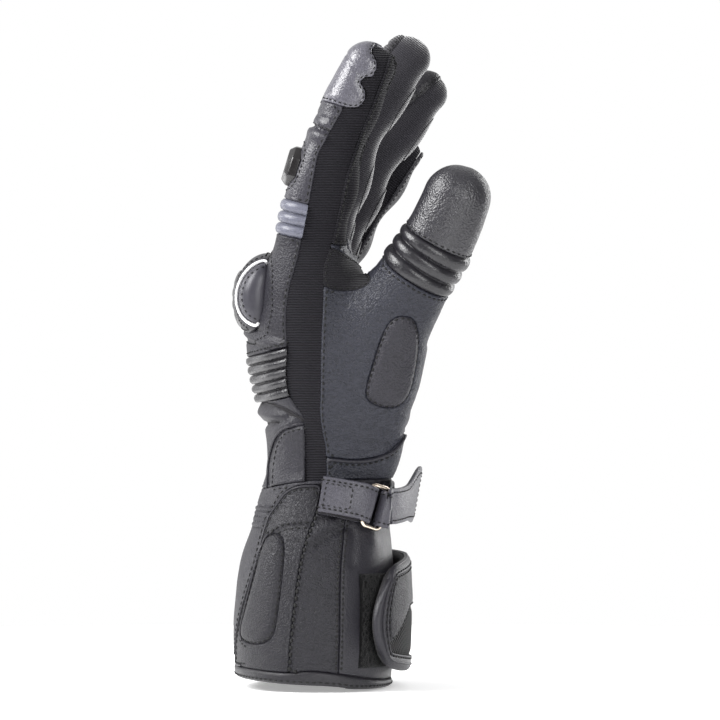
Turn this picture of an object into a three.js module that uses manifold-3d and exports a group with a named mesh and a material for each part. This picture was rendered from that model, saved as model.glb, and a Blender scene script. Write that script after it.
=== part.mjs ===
// A left-hand motorcycle gauntlet, filled out as on a hand, with its fingers up.
// Millimetres. +Z runs from the cuff's mouth to the fingertips, the palm faces +X and the thumb is on the -Y side.
// The origin is the middle of the cuff's mouth, level with the lowest edge of the hem.
import * as THREE from "three";
import Module from "manifold-3d";

const wasm = await Module();
wasm.setup();

// Driving sizes
const wall = 2.2; // leather, padding and lining together
const gap = 0.3; // between neighbouring pieces

const cuffLength = 92; // hem to wrist crease
const cuffDepth = 78; // back of the cuff to its palm side
const cuffWidth = 114; // thumb side of the cuff to its little-finger side
const wristDepth = 57;
const wristWidth = 80;
const palmLength = 92; // wrist crease to the knuckle line
const handDepth = 58;
const handWidth = 98;
const webHeight = 20; // knuckle line to the finger crotches

const fingerLength = 116; // knuckle to tip, of the index finger
const fingerWidth = 25;
const fingerDepth = 32; // at the root, back to palm side
const thumbLength = 150; // buried root to tip
const thumbDepth = 35; // seen from the thumb side, at the accordion
const thumbWidth = 31; // the other way

const hemHeight = 4.5;
const hemProud = 0.8; // how far the binding stands outside the cuff
const ribHeight = 1.6; // of every accordion
const padHeight = 1.6; // of the raised palm and cuff pads

const guardWidth = 74; // knuckle guard, across the hand
const guardHeight = 40; // knuckle guard, along the hand
const guardProud = 6.6; // how far it stands off the back of the hand
const plateThickness = 1.8; // hard plate on the guard
const sliderLength = 17; // hard slider on each finger
const sliderWidth = 15;
const sliderProud = 3.2;

const flapLength = 53; // cuff flap, along the cuff
const flapThickness = 4.5;
const flapLift = 2.4; // how far its free end stands off the cuff
const patchThickness = 0.9;

const strapWidth = 16.5;
const strapThickness = 1.6;
const tabWidth = 26; // the strap's free end
const ringWire = 2; // the strap ring is a rectangle of this wire
const ringLength = 12; // outside, along the strap

// Finishes
const finish = {
  leather: { color: 0x2e2e33, roughness: 0.55, metalness: 0 },
  stretch: { color: 0x17171a, roughness: 0.95, metalness: 0 },
  greyLeather: { color: 0x6f7a86, roughness: 0.5, metalness: 0 },
  plastic: { color: 0x1b1b1d, roughness: 0.3, metalness: 0 },
  plate: { color: 0x3a3a3e, roughness: 0.35, metalness: 0.3 },
  metal: { color: 0xc9bfb4, roughness: 0.25, metalness: 1 },
  hook: { color: 0x0e0e10, roughness: 1, metalness: 0 },
};

// Small helpers

const degrees = Math.PI / 180;
const palmward = new THREE.Vector3(1, 0, 0);
const littleward = new THREE.Vector3(0, 1, 0);
const upward = new THREE.Vector3(0, 0, 1);

// Straight-line reading of a column of a table at a place along it.
function read(rows, column, at) {
  const next = rows.findIndex((row) => row.at >= at);
  if (next <= 0) return rows.at(next === 0 ? 0 : -1)[column];
  const [a, b] = [rows[next - 1], rows[next]];
  return THREE.MathUtils.mapLinear(at, a.at, b.at, a[column], b[column]);
}

// A superellipse's cosine or sine, which fills the corners as its power rises above 2.
function squared(value, power) {
  return Math.sign(value) * Math.abs(value) ** (2 / power);
}

function solidOf(points, faces) {
  const vertProperties = new Float32Array(points.flatMap((p) => p.toArray()));
  const build = (list) =>
    new wasm.Manifold(
      new wasm.Mesh({ numProp: 3, vertProperties, triVerts: new Uint32Array(list.flat()) }),
    );
  const made = build(faces);
  return made.volume() > 0 ? made : build(faces.map(([a, b, c]) => [a, c, b]));
}

// A closed solid through rings of the same number of points, capped at both ends.
function loft(rings) {
  const sides = rings[0].length;
  const middle = (ring) =>
    ring.reduce((sum, p) => sum.add(p), new THREE.Vector3()).divideScalar(sides);
  const points = [...rings.flat(), middle(rings[0]), middle(rings.at(-1))];
  const last = (rings.length - 1) * sides;
  const faces = [];
  for (let i = 0; i < sides; i++) {
    const j = (i + 1) % sides;
    for (let k = 0; k < last; k += sides)
      faces.push([k + i, k + j, k + sides + j], [k + i, k + sides + j, k + sides + i]);
    faces.push([points.length - 2, j, i], [points.length - 1, last + i, last + j]);
  }
  return solidOf(points, faces);
}

// A three.js geometry as a solid that can be joined and cut.
function solidFrom(geometry) {
  const place = geometry.getAttribute("position");
  const index = geometry.index ? geometry.index.array : [...Array(place.count).keys()];
  const seen = new Map();
  const points = [];
  const merged = Array.from(index, (n) => {
    const p = new THREE.Vector3().fromBufferAttribute(place, n);
    const key = p.toArray().map((x) => Math.round(x * 1e4)).join();
    if (!seen.has(key)) seen.set(key, points.push(p) - 1);
    return seen.get(key);
  });
  const faces = [];
  for (let i = 0; i < merged.length; i += 3) {
    const [a, b, c] = merged.slice(i, i + 3);
    if (a !== b && b !== c && a !== c) faces.push([a, b, c]);
  }
  return solidOf(points, faces);
}

const join = (solids) => solids.reduce((sum, s) => sum.add(s));

// A prism along Y over an outline of [x, z] corners seen from the thumb side.
function sideCutter(outline, fromY, toY) {
  const shape = new THREE.Shape(outline.map(([x, z]) => new THREE.Vector2(x, z)));
  const prism = new THREE.ExtrudeGeometry(shape, { depth: toY - fromY, bevelEnabled: false });
  return solidFrom(prism.rotateX(Math.PI / 2).translate(0, toY, 0));
}

// A rounded outline through a few [x, z] corners.
function rounded(corners, steps) {
  const curve = new THREE.SplineCurve(
    [...corners, corners[0]].map(([x, z]) => new THREE.Vector2(x, z)),
  );
  return curve.getPoints(steps).slice(0, steps).map((p) => [p.x, p.y]);
}

// The cuff and hand

const bodySides = 20;
const cuffZone = { from: 0, length: cuffLength, depth: cuffDepth, width: cuffWidth };
const wristZone = { from: cuffLength, length: palmLength, depth: wristDepth, width: wristWidth };
const handZone = { from: cuffLength, length: palmLength, depth: handDepth, width: handWidth };
const webZone = { ...handZone, from: cuffLength + palmLength, length: webHeight };

// Sections from the hem up. at is a share of the zone's length, back and palm are shares of its depth on
// either side of the middle, half is a share of its width, and drop lowers the little-finger side by a share
// of the web's height.
const bodyRows = [
  { zone: cuffZone, at: -0.03, back: 0.47, palm: 0.405, half: 0.485, drop: 0 },
  { zone: cuffZone, at: 0.22, back: 0.508, palm: 0.436, half: 0.5, drop: 0 },
  { zone: cuffZone, at: 0.44, back: 0.5, palm: 0.44, half: 0.482, drop: 0 },
  { zone: cuffZone, at: 0.63, back: 0.472, palm: 0.423, half: 0.452, drop: 0 },
  { zone: cuffZone, at: 0.81, back: 0.404, palm: 0.404, half: 0.404, drop: 0 },
  { zone: cuffZone, at: 0.95, back: 0.362, palm: 0.4, half: 0.368, drop: 0 },
  { zone: wristZone, at: 0.06, back: 0.43, palm: 0.55, half: 0.506, drop: 0 },
  { zone: wristZone, at: 0.2, back: 0.421, palm: 0.55, half: 0.519, drop: 0 },
  { zone: handZone, at: 0.34, back: 0.445, palm: 0.525, half: 0.454, drop: 0 },
  { zone: handZone, at: 0.44, back: 0.5, palm: 0.51, half: 0.472, drop: 0 },
  { zone: handZone, at: 0.66, back: 0.565, palm: 0.474, half: 0.493, drop: 0 },
  { zone: handZone, at: 0.83, back: 0.57, palm: 0.448, half: 0.503, drop: 0.1 },
  { zone: handZone, at: 0.98, back: 0.54, palm: 0.414, half: 0.503, drop: 0.25 },
  { zone: webZone, at: 0.45, back: 0.483, palm: 0.36, half: 0.49, drop: 0.45 },
  { zone: webZone, at: 0.92, back: 0.4, palm: 0.3, half: 0.462, drop: 0.62 },
  { zone: webZone, at: 1.2, back: 0.24, palm: 0.18, half: 0.4, drop: 0.72 },
].map(({ zone, at, back, palm, half, drop }) => ({
  at: zone.from + at * zone.length,
  back: back * zone.depth,
  palm: palm * zone.depth,
  half: half * zone.width,
  drop: drop * webHeight,
}));
const bodyPower = 2.4;

// The accordion on the back of the hand, as shares of the palm's length.
const backRibs = { from: 0.44, to: 0.66, count: 5 };
const backRibZ = [backRibs.from, backRibs.to].map((share) => cuffLength + share * palmLength);

// A rib's height at a place along an accordion that runs from 0 to 1.
function ribWave(along, count) {
  return along <= 0 || along >= 1 ? 0 : Math.sin(along * count * Math.PI) ** 2;
}

// Stations that hit the foot and the crest of each rib.
function ribStations(from, to, count) {
  const steps = 2 * count;
  return Array.from({ length: steps + 1 }, (_, i) => THREE.MathUtils.lerp(from, to, i / steps));
}

// A point of the cuff and hand's skin: turn is 0 at the palm, 90 at the little finger and 180 at the back.
function bodyPoint(turn, z, grow = 0) {
  const [back, palm, half, drop] = ["back", "palm", "half", "drop"].map((c) => read(bodyRows, c, z));
  const across = squared(Math.sin(turn * degrees), bodyPower);
  const along = squared(Math.cos(turn * degrees), bodyPower);
  const ribs = ribWave((z - backRibZ[0]) / (backRibZ[1] - backRibZ[0]), backRibs.count);
  const swell = grow > 0 || grow === 0 ? ribHeight * ribs * Math.max(0, -along) ** 0.5 : 0;
  const depth = (back + palm) / 2 + grow + swell;
  return new THREE.Vector3(
    (palm - back) / 2 + depth * along,
    (half + grow) * across,
    z - (drop * (1 + across)) / 2,
  );
}

// The skin's outward direction there.
function bodyNormal(turn, z, reach = 4) {
  const around = bodyPoint(turn + 2, z).sub(bodyPoint(turn - 2, z));
  const up = bodyPoint(turn, z + reach).sub(bodyPoint(turn, z - reach));
  return around.cross(up).normalize();
}

function bodySolid(grow, top = Infinity) {
  const ribLevels = grow < 0 ? [] : ribStations(...backRibZ, backRibs.count);
  const levels = [...bodyRows.map((row) => row.at), ...ribLevels];
  const stations = [...new Set(levels.map((z) => Math.round(z * 1e3) / 1e3))].sort((a, b) => a - b);
  const lift = (z) => (z === stations.at(-1) ? Math.min(z + grow, top) : z);
  return loft(
    stations.map((z) =>
      Array.from({ length: bodySides }, (_, i) => {
        const p = bodyPoint((360 * i) / bodySides, z, grow);
        p.z += lift(z) - z;
        return p;
      }),
    ),
  );
}

// Fingers and thumb

// A tube along a curve: sections hold its half width and half depth, and its tip closes on itself.
// The root reaches back by startBack so that an inner tube always opens into the hand.
function tubeFrame(curve, at) {
  const centre = curve.getPointAt(Math.min(at, 1));
  const along = curve.getTangentAt(Math.min(at, 1));
  const side = littleward.clone().addScaledVector(along, -along.y).normalize();
  const front = new THREE.Vector3().crossVectors(side, along);
  return { centre, along, side, front };
}

function tubeRing({ curve, rows, depth, width, power, sides, relief }, at, grow) {
  const { centre, along, side, front } = tubeFrame(curve, at);
  const least = 0.6;
  const halfDepth = Math.max((read(rows, "depth", at) * depth) / 2 + grow, least);
  const halfWidth = Math.max((read(rows, "width", at) * width) / 2 + grow, least);
  centre.addScaledVector(along, grow * at);
  return Array.from({ length: sides }, (_, i) => {
    const turn = (2 * Math.PI * i) / sides;
    const swell = grow < 0 ? 0 : relief(at, turn);
    return centre
      .clone()
      .addScaledVector(front, (halfDepth + swell) * squared(Math.cos(turn), power))
      .addScaledVector(side, (halfWidth + swell) * squared(Math.sin(turn), power));
  });
}

function tubeSolid(tube, grow) {
  const levels = [...tube.rows.map((row) => row.at), ...(grow < 0 ? [] : tube.ribLevels)];
  const stations = [...new Set(levels)].sort((a, b) => a - b);
  return loft(stations.map((at) => tubeRing(tube, at, grow)));
}

// Everything of a tube past a station, with its end square to the curve.
function pastStation(tube, at, shift = 0) {
  const { centre, along } = tubeFrame(tube.curve, at);
  const reach = 400;
  const block = new THREE.BoxGeometry(reach, reach, reach).translate(0, 0, reach / 2 + shift);
  const turn = new THREE.Quaternion().setFromUnitVectors(upward, along);
  return solidFrom(block.applyQuaternion(turn).translate(...centre.toArray()));
}

// Half sizes of a finger along it, as shares of its own depth and width.
const fingerRows = [
  { at: 0, depth: 0.96, width: 0.94 },
  { at: 0.2, depth: 1, width: 0.98 },
  { at: 0.45, depth: 0.93, width: 1 },
  { at: 0.6, depth: 0.83, width: 0.97 },
  { at: 0.76, depth: 0.77, width: 0.93 },
  { at: 0.9, depth: 0.71, width: 0.83 },
  { at: 0.97, depth: 0.52, width: 0.62 },
  { at: 1, depth: 0.26, width: 0.32 },
];
const fingerRibs = { from: 0.19, to: 0.32, count: 3 };
const fingerSides = 8;
const boneShares = [0.41, 0.31, 0.28];

// x, y and z place the knuckle as shares of the hand's depth, its width and the web's height. bend is each
// bone's lean towards the palm and splay its lean towards the little finger, in degrees.
const fingerTable = [
  { name: "index", x: -0.138, y: -0.345, z: -0.05, long: 1, wide: 0.98, deep: 1, bend: [11, 19, 26], splay: -5 },
  { name: "middle", x: -0.103, y: -0.11, z: 0.1, long: 1.06, wide: 1, deep: 0.94, bend: [17, 26, 34], splay: -1 },
  { name: "ring", x: -0.07, y: 0.12, z: -0.1, long: 0.99, wide: 0.95, deep: 0.86, bend: [23, 34, 38], splay: 3 },
  { name: "little", x: -0.103, y: 0.335, z: -0.5, long: 0.81, wide: 0.85, deep: 0.8, bend: [27, 35, 35], splay: 8 },
];

const knuckleLine = cuffLength + palmLength;

const fingers = fingerTable.map((row) => {
  const length = fingerLength * row.long;
  const joints = [
    new THREE.Vector3(row.x * handDepth, row.y * handWidth, knuckleLine + row.z * webHeight),
  ];
  row.bend.forEach((lean, i) => {
    const bone = new THREE.Vector3(
      Math.sin(lean * degrees),
      Math.sin(row.splay * degrees),
      Math.cos(lean * degrees),
    ).setLength(length * boneShares[i]);
    joints.push(joints.at(-1).clone().add(bone));
  });
  return {
    name: row.name,
    length,
    curve: new THREE.CatmullRomCurve3(joints),
    rows: fingerRows,
    depth: fingerDepth * row.deep,
    width: fingerWidth * row.wide,
    power: 2.5,
    sides: fingerSides,
    ribLevels: ribStations(fingerRibs.from, fingerRibs.to, fingerRibs.count),
    relief: (at, turn) => {
      const along = (at - fingerRibs.from) / (fingerRibs.to - fingerRibs.from);
      return ribHeight * ribWave(along, fingerRibs.count) * Math.max(0, -Math.cos(turn)) ** 0.5;
    },
  };
});

// The thumb's centre line from its buried root. x, y and z are shares of the hand's depth, its width and the
// thumb's length above the wrist, and depth and width are shares of the thumb's own.
const thumbRows = [
  { x: 0.24, y: -0.2, z: 0, depth: 0.7, width: 0.7 },
  { x: 0.29, y: -0.235, z: 0.075, depth: 1.05, width: 0.86 },
  { x: 0.31, y: -0.265, z: 0.2, depth: 1.26, width: 1.08 },
  { x: 0.385, y: -0.3, z: 0.355, depth: 1.38, width: 1.2 },
  { x: 0.49, y: -0.345, z: 0.49, depth: 1.32, width: 1.16 },
  { x: 0.66, y: -0.39, z: 0.575, depth: 1.08, width: 1.08 },
  { x: 0.765, y: -0.43, z: 0.645, depth: 0.97, width: 1 },
  { x: 0.93, y: -0.475, z: 0.745, depth: 0.93, width: 0.98 },
  { x: 1.055, y: -0.51, z: 0.855, depth: 0.86, width: 0.92 },
  { x: 1.13, y: -0.53, z: 0.93, depth: 0.68, width: 0.74 },
  { x: 1.155, y: -0.54, z: 0.965, depth: 0.34, width: 0.36 },
];
const thumbRibs = { from: 0.655, to: 0.775, count: 3 };

const thumb = (() => {
  const curve = new THREE.CatmullRomCurve3(
    thumbRows.map(
      ({ x, y, z }) => new THREE.Vector3(x * handDepth, y * handWidth, cuffLength + z * thumbLength),
    ),
  );
  const spans = curve.points.map((p, i, all) => (i ? p.distanceTo(all[i - 1]) : 0));
  const total = spans.reduce((a, b) => a + b);
  let run = 0;
  const rows = thumbRows.map((row, i) => ({ ...row, at: (run += spans[i]) / total }));
  return {
    curve,
    rows,
    depth: thumbDepth,
    width: thumbWidth,
    power: 2.15,
    sides: 12,
    ribLevels: ribStations(thumbRibs.from, thumbRibs.to, thumbRibs.count),
    relief: (at) => {
      const along = (at - thumbRibs.from) / (thumbRibs.to - thumbRibs.from);
      return ribHeight * ribWave(along, thumbRibs.count);
    },
  };
})();

// The hollow shell

const fingerStart = fingerRibs.from; // station where each finger leaves the hand
const bodyInner = bodySolid(-wall);
const inside = join([bodyInner, ...[...fingers, thumb].map((tube) => tubeSolid(tube, -wall))]);

const fingerShells = fingers.map((finger) =>
  tubeSolid(finger, 0)
    .intersect(pastStation(finger, fingerStart, gap / 2))
    .subtract(inside),
);
const fingerRoom = join(
  fingers.map((finger) => tubeSolid(finger, gap).intersect(pastStation(finger, fingerStart, -gap / 2))),
);
const handOuter = join([bodySolid(0), ...[...fingers, thumb].map((tube) => tubeSolid(tube, 0))]);
const handShell = handOuter.subtract(inside).subtract(fingerRoom);

// Seams, seen from the thumb side

// Where the stretch gusset meets the back (front edge first) and the palm, as shares of the hand's depth.
// at is a share of the palm's length above the wrist.
const gussetRows = [
  { at: -0.1, back: -0.112, palm: 0.055 },
  { at: 0.12, back: -0.112, palm: 0.06 },
  { at: 0.34, back: -0.112, palm: 0.01 },
  { at: 0.44, back: -0.236, palm: 0.01 },
  { at: 0.86, back: -0.26, palm: 0.031 },
  { at: 1.08, back: -0.19, palm: 0.05 },
  { at: 1.4, back: -0.1, palm: 0.12 },
];

// Where the cuff's long seams run, as shares of its depth, with at a share of its length.
const cuffRows = [
  { at: -0.1, piped: -0.475, side: -0.18, double: 0.115 },
  { at: 0.2, piped: -0.487, side: -0.168, double: 0.12 },
  { at: 0.5, piped: -0.435, side: -0.142, double: 0.13 },
  { at: 0.78, piped: -0.335, side: -0.08, double: 0.146 },
  { at: 0.88, piped: -0.3, side: -0.035, double: 0.15 },
  { at: 0.95, piped: -0.24, side: 0.01, double: 0.155 },
  { at: 1.1, piped: -0.1, side: 0.03, double: 0.16 },
];

const far = 200; // past everything, for cutters
const halves = { thumb: [-far, 0], little: [0, far], both: [-far, far] };

// The strip between two seams of a table, from one height to another, seen from the thumb side.
// A seam is a column, or a number for a straight edge; each edge stands off its seam by half a gap.
function strip(rows, zone, left, right, fromZ, toZ, [fromY, toY]) {
  const levels = rows.map((row) => zone.from + row.at * zone.length);
  const heights = [fromZ, ...levels.filter((z) => z > fromZ && z < toZ), toZ];
  const edge = (seam, off) =>
    heights.map((z) => {
      const x = typeof seam === "number" ? seam : read(rows, seam, (z - zone.from) / zone.length) * zone.depth;
      return [x + off, z];
    });
  return sideCutter([...edge(left, gap / 2), ...edge(right, -gap / 2).reverse()], fromY, toY);
}

const top = 400;
const wristLine = cuffLength + gap / 2;
const cuffLine = cuffLength - gap / 2;
const core = 0.33 * handWidth; // inside this half width, back and palm meet with no gusset between
const coreSeam = -0.06 * handDepth;
const shellStrip = (...limits) => strip(gussetRows, handZone, ...limits);
const [ribsFoot, ribsTop] = backRibZ;
const outerSides = [
  [-far, -core],
  [core, far],
];

// Back of the hand, gussets and palm
const backRegion = shellStrip(-far, "back", wristLine, top, halves.both).add(
  shellStrip(-far, coreSeam, ribsTop, top, [-core + gap, core - gap]),
);
const palmRegion = shellStrip("palm", far, wristLine, top, halves.both).add(
  shellStrip(coreSeam, far, ribsTop, top, [-core + gap, core - gap]),
);
const gussetRegions = outerSides.map((side) =>
  shellStrip("back", "palm", wristLine, top, side),
);

const level = (fromZ, toZ) =>
  sideCutter([[-far, fromZ], [far, fromZ], [far, toZ], [-far, toZ]], -far, far);

const handBack = handShell.intersect(backRegion);
const pastPalm = handShell.intersect(palmRegion);

// The web between thumb and index finger, a piece of stretch cloth, as shares of depth and palm length.
const webOutline = [
  [0.05, 1.2],
  [0.14, 1.16],
  [0.26, 1.08],
  [0.42, 0.96],
  [0.3, 0.955],
  [0.02, 0.972],
].map(([x, z]) => [x * handDepth, cuffLength + z * palmLength]);
const webWindow = (grow) => {
  const middle = webOutline.reduce(([a, b], [x, z]) => [a + x / 6, b + z / 6], [0, 0]);
  const scaled = webOutline.map(([x, z]) => {
    const [dx, dz] = [x - middle[0], z - middle[1]];
    const share = 1 + grow / Math.hypot(dx, dz);
    return [middle[0] + dx * share, middle[1] + dz * share];
  });
  return sideCutter(scaled, -far, -core);
};

// The front seam of the wrist, a piped curve that climbs towards the palm's heel.
const heelSeam = [
  [-0.3, 0.15],
  [0.05, 0.15],
  [0.2, 0.12],
  [0.34, 0.13],
  [0.46, 0.165],
  [0.56, 0.23],
  [0.9, 0.4],
].map(([x, z]) => [x * handDepth, cuffLength + z * palmLength]);
const heelCutter = (shift) =>
  sideCutter([[-far, -far], [-far, heelSeam[0][1] + shift], ...heelSeam.map(([x, z]) => [x, z + shift]),
    [far, heelSeam.at(-1)[1] + shift], [far, -far]], -far, far);

const thumbPast = (at, shift) => pastStation(thumb, at, shift).intersect(tubeSolid(thumb, ribHeight + gap));
const thumbCapShell = pastPalm.intersect(thumbPast(thumbRibs.to, gap / 2));
const thumbRibShell = pastPalm
  .intersect(thumbPast(thumbRibs.from, gap / 2))
  .subtract(pastStation(thumb, thumbRibs.to, -gap / 2));
const palmShell = pastPalm
  .subtract(thumbPast(thumbRibs.from, -gap / 2))
  .subtract(webWindow(gap / 2))
  .subtract(heelCutter(gap / 2));

// The palm's inner seam divides it between the ball of the thumb and the rest.
const palmSeam = -0.2 * handWidth;
const slab = (fromY, toY) => sideCutter([[-far, -far], [far, -far], [far, top], [-far, top]], fromY, toY);

// The cuff's panels and hem

// The hem's lower edge, seen from the side: level at the back, and dipping towards the palm.
const hemRows = [
  { at: -0.6, z: 2.4 },
  { at: -0.42, z: 1.5 },
  { at: 0.03, z: 1.2 },
  { at: 0.2, z: 0.45 },
  { at: 0.4, z: 0 },
  { at: 0.7, z: 0 },
];
const hemEdge = (shift) => hemRows.map(({ at, z }) => [at * cuffDepth, z * hemHeight + shift]);
const aboveHem = (shift) =>
  sideCutter([...hemEdge(shift), [0.7 * cuffDepth, top], [-0.6 * cuffDepth, top]], -far, far);

const cuffShell = bodySolid(0).subtract(inside).intersect(aboveHem(hemHeight + gap / 2));
const cuffStrip = (left, right, side) =>
  cuffShell.intersect(strip(cuffRows, cuffZone, left, right, -far, cuffLine, side));
const hemShell = bodySolid(hemProud)
  .subtract(inside)
  .intersect(aboveHem(0))
  .subtract(aboveHem(hemHeight - gap / 2));

// Raised pads under the leather: a rounded outline, pressed out along the side of the glove.
function sidePad(outline, skins) {
  const prism = sideCutter(rounded(outline, 20), -far, -0.3 * handWidth);
  const [outer, inner] = [gap + padHeight, gap].map((grow) => join(skins.map((skin) => skin(grow))));
  return outer.subtract(inner).intersect(prism);
}
const thumbSkin = (grow) => tubeSolid(thumb, grow);
const palmPad = sidePad(
  [[0.545, 0.85], [0.62, 0.82], [0.64, 0.73], [0.61, 0.52], [0.54, 0.41], [0.43, 0.395], [0.375, 0.47], [0.44, 0.66]]
    .map(([x, z]) => [x * handDepth, cuffLength + z * palmLength]),
  [thumbSkin, bodySolid],
);
const cuffPad = sidePad(
  [[-0.28, 0.76], [-0.235, 0.76], [-0.21, 0.68], [-0.243, 0.5], [-0.262, 0.3], [-0.3, 0.24], [-0.43, 0.245],
    [-0.44, 0.31], [-0.395, 0.48], [-0.335, 0.65]]
    .map(([x, z]) => [x * cuffDepth, z * cuffLength]),
  [bodySolid],
);

// Knuckle guard and finger sliders

const guardCentre = new THREE.Vector3(-0.41 * handDepth, -0.01 * handWidth, cuffLength + 0.965 * palmLength);
const guardReach = 0.54 * handDepth - 0.41 * handDepth + guardProud;
const ball = (centre, x, y, z) =>
  solidFrom(new THREE.SphereGeometry(1, 16, 8).rotateX(Math.PI / 2).scale(x, y, z).translate(...centre));
const guardBall = (grow) =>
  ball(guardCentre, guardReach + grow, guardWidth / 2 + grow, guardHeight / 2 + grow);
const behind = (x) => sideCutter([[-far, -far], [x, -far], [x, top], [-far, top]], -far, far);
const handRoom = join([bodySolid(gap), ...fingers.map((finger) => tubeSolid(finger, gap))]);
const guardBase = guardBall(0).intersect(behind(guardCentre.x)).subtract(handRoom);
const plateShares = { width: 0.7, height: 0.66 };
const guardPlate = guardBall(gap + plateThickness)
  .subtract(guardBall(gap))
  .intersect(
    ball(guardCentre, far, (guardWidth * plateShares.width) / 2, (guardHeight * plateShares.height) / 2),
  )
  .intersect(behind(guardCentre.x))
  .subtract(handRoom);

// Each finger's seams: how far its strip of stretch cloth stands from the centre line, as shares of the
// half depth there, below zero towards the back.
const fingerSeams = [
  { at: 0, back: -0.36, front: 0.56 },
  { at: 0.62, back: -0.34, front: 0.56 },
  { at: 0.72, back: 0.22, front: 0.66 },
  { at: 0.9, back: 0.26, front: 0.74 },
  { at: 1, back: 0.28, front: 0.78 },
];
const capStart = 0.67;
const sliderPlace = 0.45;

function fingerEdge(finger, column, off) {
  const stations = [0, 0.3, 0.62, 0.72, 0.9];
  const points = stations.map((at) => {
    const { centre, front } = tubeFrame(finger.curve, at);
    const halfDepth = (read(fingerRows, "depth", at) * finger.depth) / 2;
    const share = typeof column === "number" ? column : read(fingerSeams, column, at);
    return centre.addScaledVector(front, share * halfDepth + off);
  });
  const { along } = tubeFrame(finger.curve, 1);
  points.push(points.at(-1).clone().addScaledVector(along, finger.length / 3));
  return points.map((p) => [p.x, p.z]);
}

// The part of a finger between two edges that run along it, from its back to its front.
const wide = 3; // half depths, past the skin on either side
function fingerBand(finger, left, right) {
  const outline = [...fingerEdge(finger, left, gap / 2), ...fingerEdge(finger, right, -gap / 2).reverse()];
  return sideCutter(outline, -far, far);
}

function fingerPieces(finger, shell) {
  const past = (at, shift) => pastStation(finger, at, shift);
  const span = (solid, from, to) =>
    solid.intersect(past(from, gap / 2)).subtract(past(to, -gap / 2));
  const back = shell.intersect(fingerBand(finger, -wide, "back"));
  const { centre, side, front, along } = tubeFrame(finger.curve, sliderPlace);
  const skin = (read(fingerRows, "depth", sliderPlace) * finger.depth) / 2;
  const place = new THREE.Matrix4().makeBasis(front, side, along);
  const reach = 2 * sliderProud;
  const slider = new THREE.SphereGeometry(1, 10, 6)
    .rotateX(Math.PI / 2)
    .scale(reach, (sliderWidth * finger.width) / fingerWidth / 2, sliderLength / 2)
    .applyMatrix4(place)
    .translate(...centre.addScaledVector(front, sliderProud - skin).toArray());
  return {
    ribs: back.subtract(past(fingerRibs.to, -gap / 2)),
    back: span(back, fingerRibs.to, capStart),
    cap: back.intersect(past(capStart, gap / 2)),
    wall: shell.intersect(fingerBand(finger, "back", "front")),
    front: shell.intersect(fingerBand(finger, "front", wide)),
    slider: solidFrom(slider).subtract(tubeSolid(finger, gap)),
  };
}

// Cuff flap, hook patch and wrist strap, all laid on the cuff's skin

// A sheet over a grid of places: at(u, v) gives a place on its inner face and the way out of it.
function sheet(uCount, vCount, thickness, at) {
  const rings = [];
  for (let i = 0; i <= uCount; i++) {
    const column = Array.from({ length: vCount + 1 }, (_, j) => at(i / uCount, j / vCount));
    const inner = column.map(({ place }) => place);
    const outer = column.map(({ place, out }) => place.clone().addScaledVector(out, thickness));
    rings.push([...inner, ...outer.reverse()]);
  }
  return loft(rings);
}

// Turns are round the cuff, 0 at the palm and -90 at the thumb side.
const flapTurns = { hinge: 78, end: -55 };
// The flap's free end is bowed: it reaches furthest a little below the middle of its height.
const flapEnd = (v) => flapTurns.end + 9 * (2 * v - 0.85) ** 2;
const flapFoot = 1.6 * hemHeight;
const flapBottom = (u) => flapFoot + flapLength * 0.1 * u ** 4;
const flapTop = (u) => flapFoot + flapLength * (1 - 0.12 * u ** 4);
const cuffFlap = sheet(10, 4, flapThickness, (u, v) => {
  const turn = THREE.MathUtils.lerp(flapTurns.hinge, flapEnd(v), u);
  const z = THREE.MathUtils.lerp(flapBottom(u), flapTop(u), v);
  const lift = gap + flapLift * u ** 2;
  const out = bodyNormal(turn, z);
  return { place: bodyPoint(turn, z, 2 * gap + patchThickness).addScaledVector(out, lift), out };
});
const flapPatch = sheet(5, 4, patchThickness, (u, v) => {
  const turn = THREE.MathUtils.lerp(-20, -64, u);
  const z = flapFoot + flapLength * THREE.MathUtils.lerp(0.06, 0.86, v);
  return { place: bodyPoint(turn, z, 2 * gap), out: bodyNormal(turn, z) };
});

// A flat band through places on the cuff: each has the way out, and half the band's width there.
function ribbon(stations, thickness) {
  return loft(
    stations.map(({ place, out, half }, i) => {
      const ahead = stations[Math.min(i + 1, stations.length - 1)].place;
      const behindIt = stations[Math.max(i - 1, 0)].place;
      const along = ahead.clone().sub(behindIt).normalize();
      const across = strapAcross(along, out);
      const up = new THREE.Vector3().crossVectors(across, along).normalize();
      const corner = (a, b) =>
        place.clone().addScaledVector(across, a * half).addScaledVector(up, (b * thickness) / 2);
      return [corner(1, 1), corner(1, -1), corner(-1, -1), corner(-1, 1)];
    }),
  );
}

// The strap's width runs up the cuff, square to its own line and to the way out.
function strapAcross(along, out) {
  const flat = along.clone().addScaledVector(out, -along.dot(out)).normalize();
  const across = new THREE.Vector3().crossVectors(out, flat).normalize();
  return across.z < 0 ? across.negate() : across;
}

// The strap's height on the cuff, as a share of its length, at each turn.
const strapRows = [
  { at: -100, z: 0.965 },
  { at: -90, z: 0.95 },
  { at: -50, z: 0.88 },
  { at: 0, z: 0.925 },
  { at: 62, z: 0.95 },
];
function strapPlace(turn, lift) {
  const z = read(strapRows, "z", turn) * cuffLength;
  const out = bodyNormal(turn, z);
  return { place: bodyPoint(turn, z).addScaledVector(out, lift), out, half: strapWidth / 2 };
}

const ringTurn = -50;
const loopRadius = 0.75 * ringWire + gap + strapThickness / 2;
const underLift = strapThickness / 2 + 4 * gap;
const barLift = underLift + loopRadius;
const overLift = barLift + loopRadius;
const ringSeat = strapPlace(ringTurn, barLift);
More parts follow.
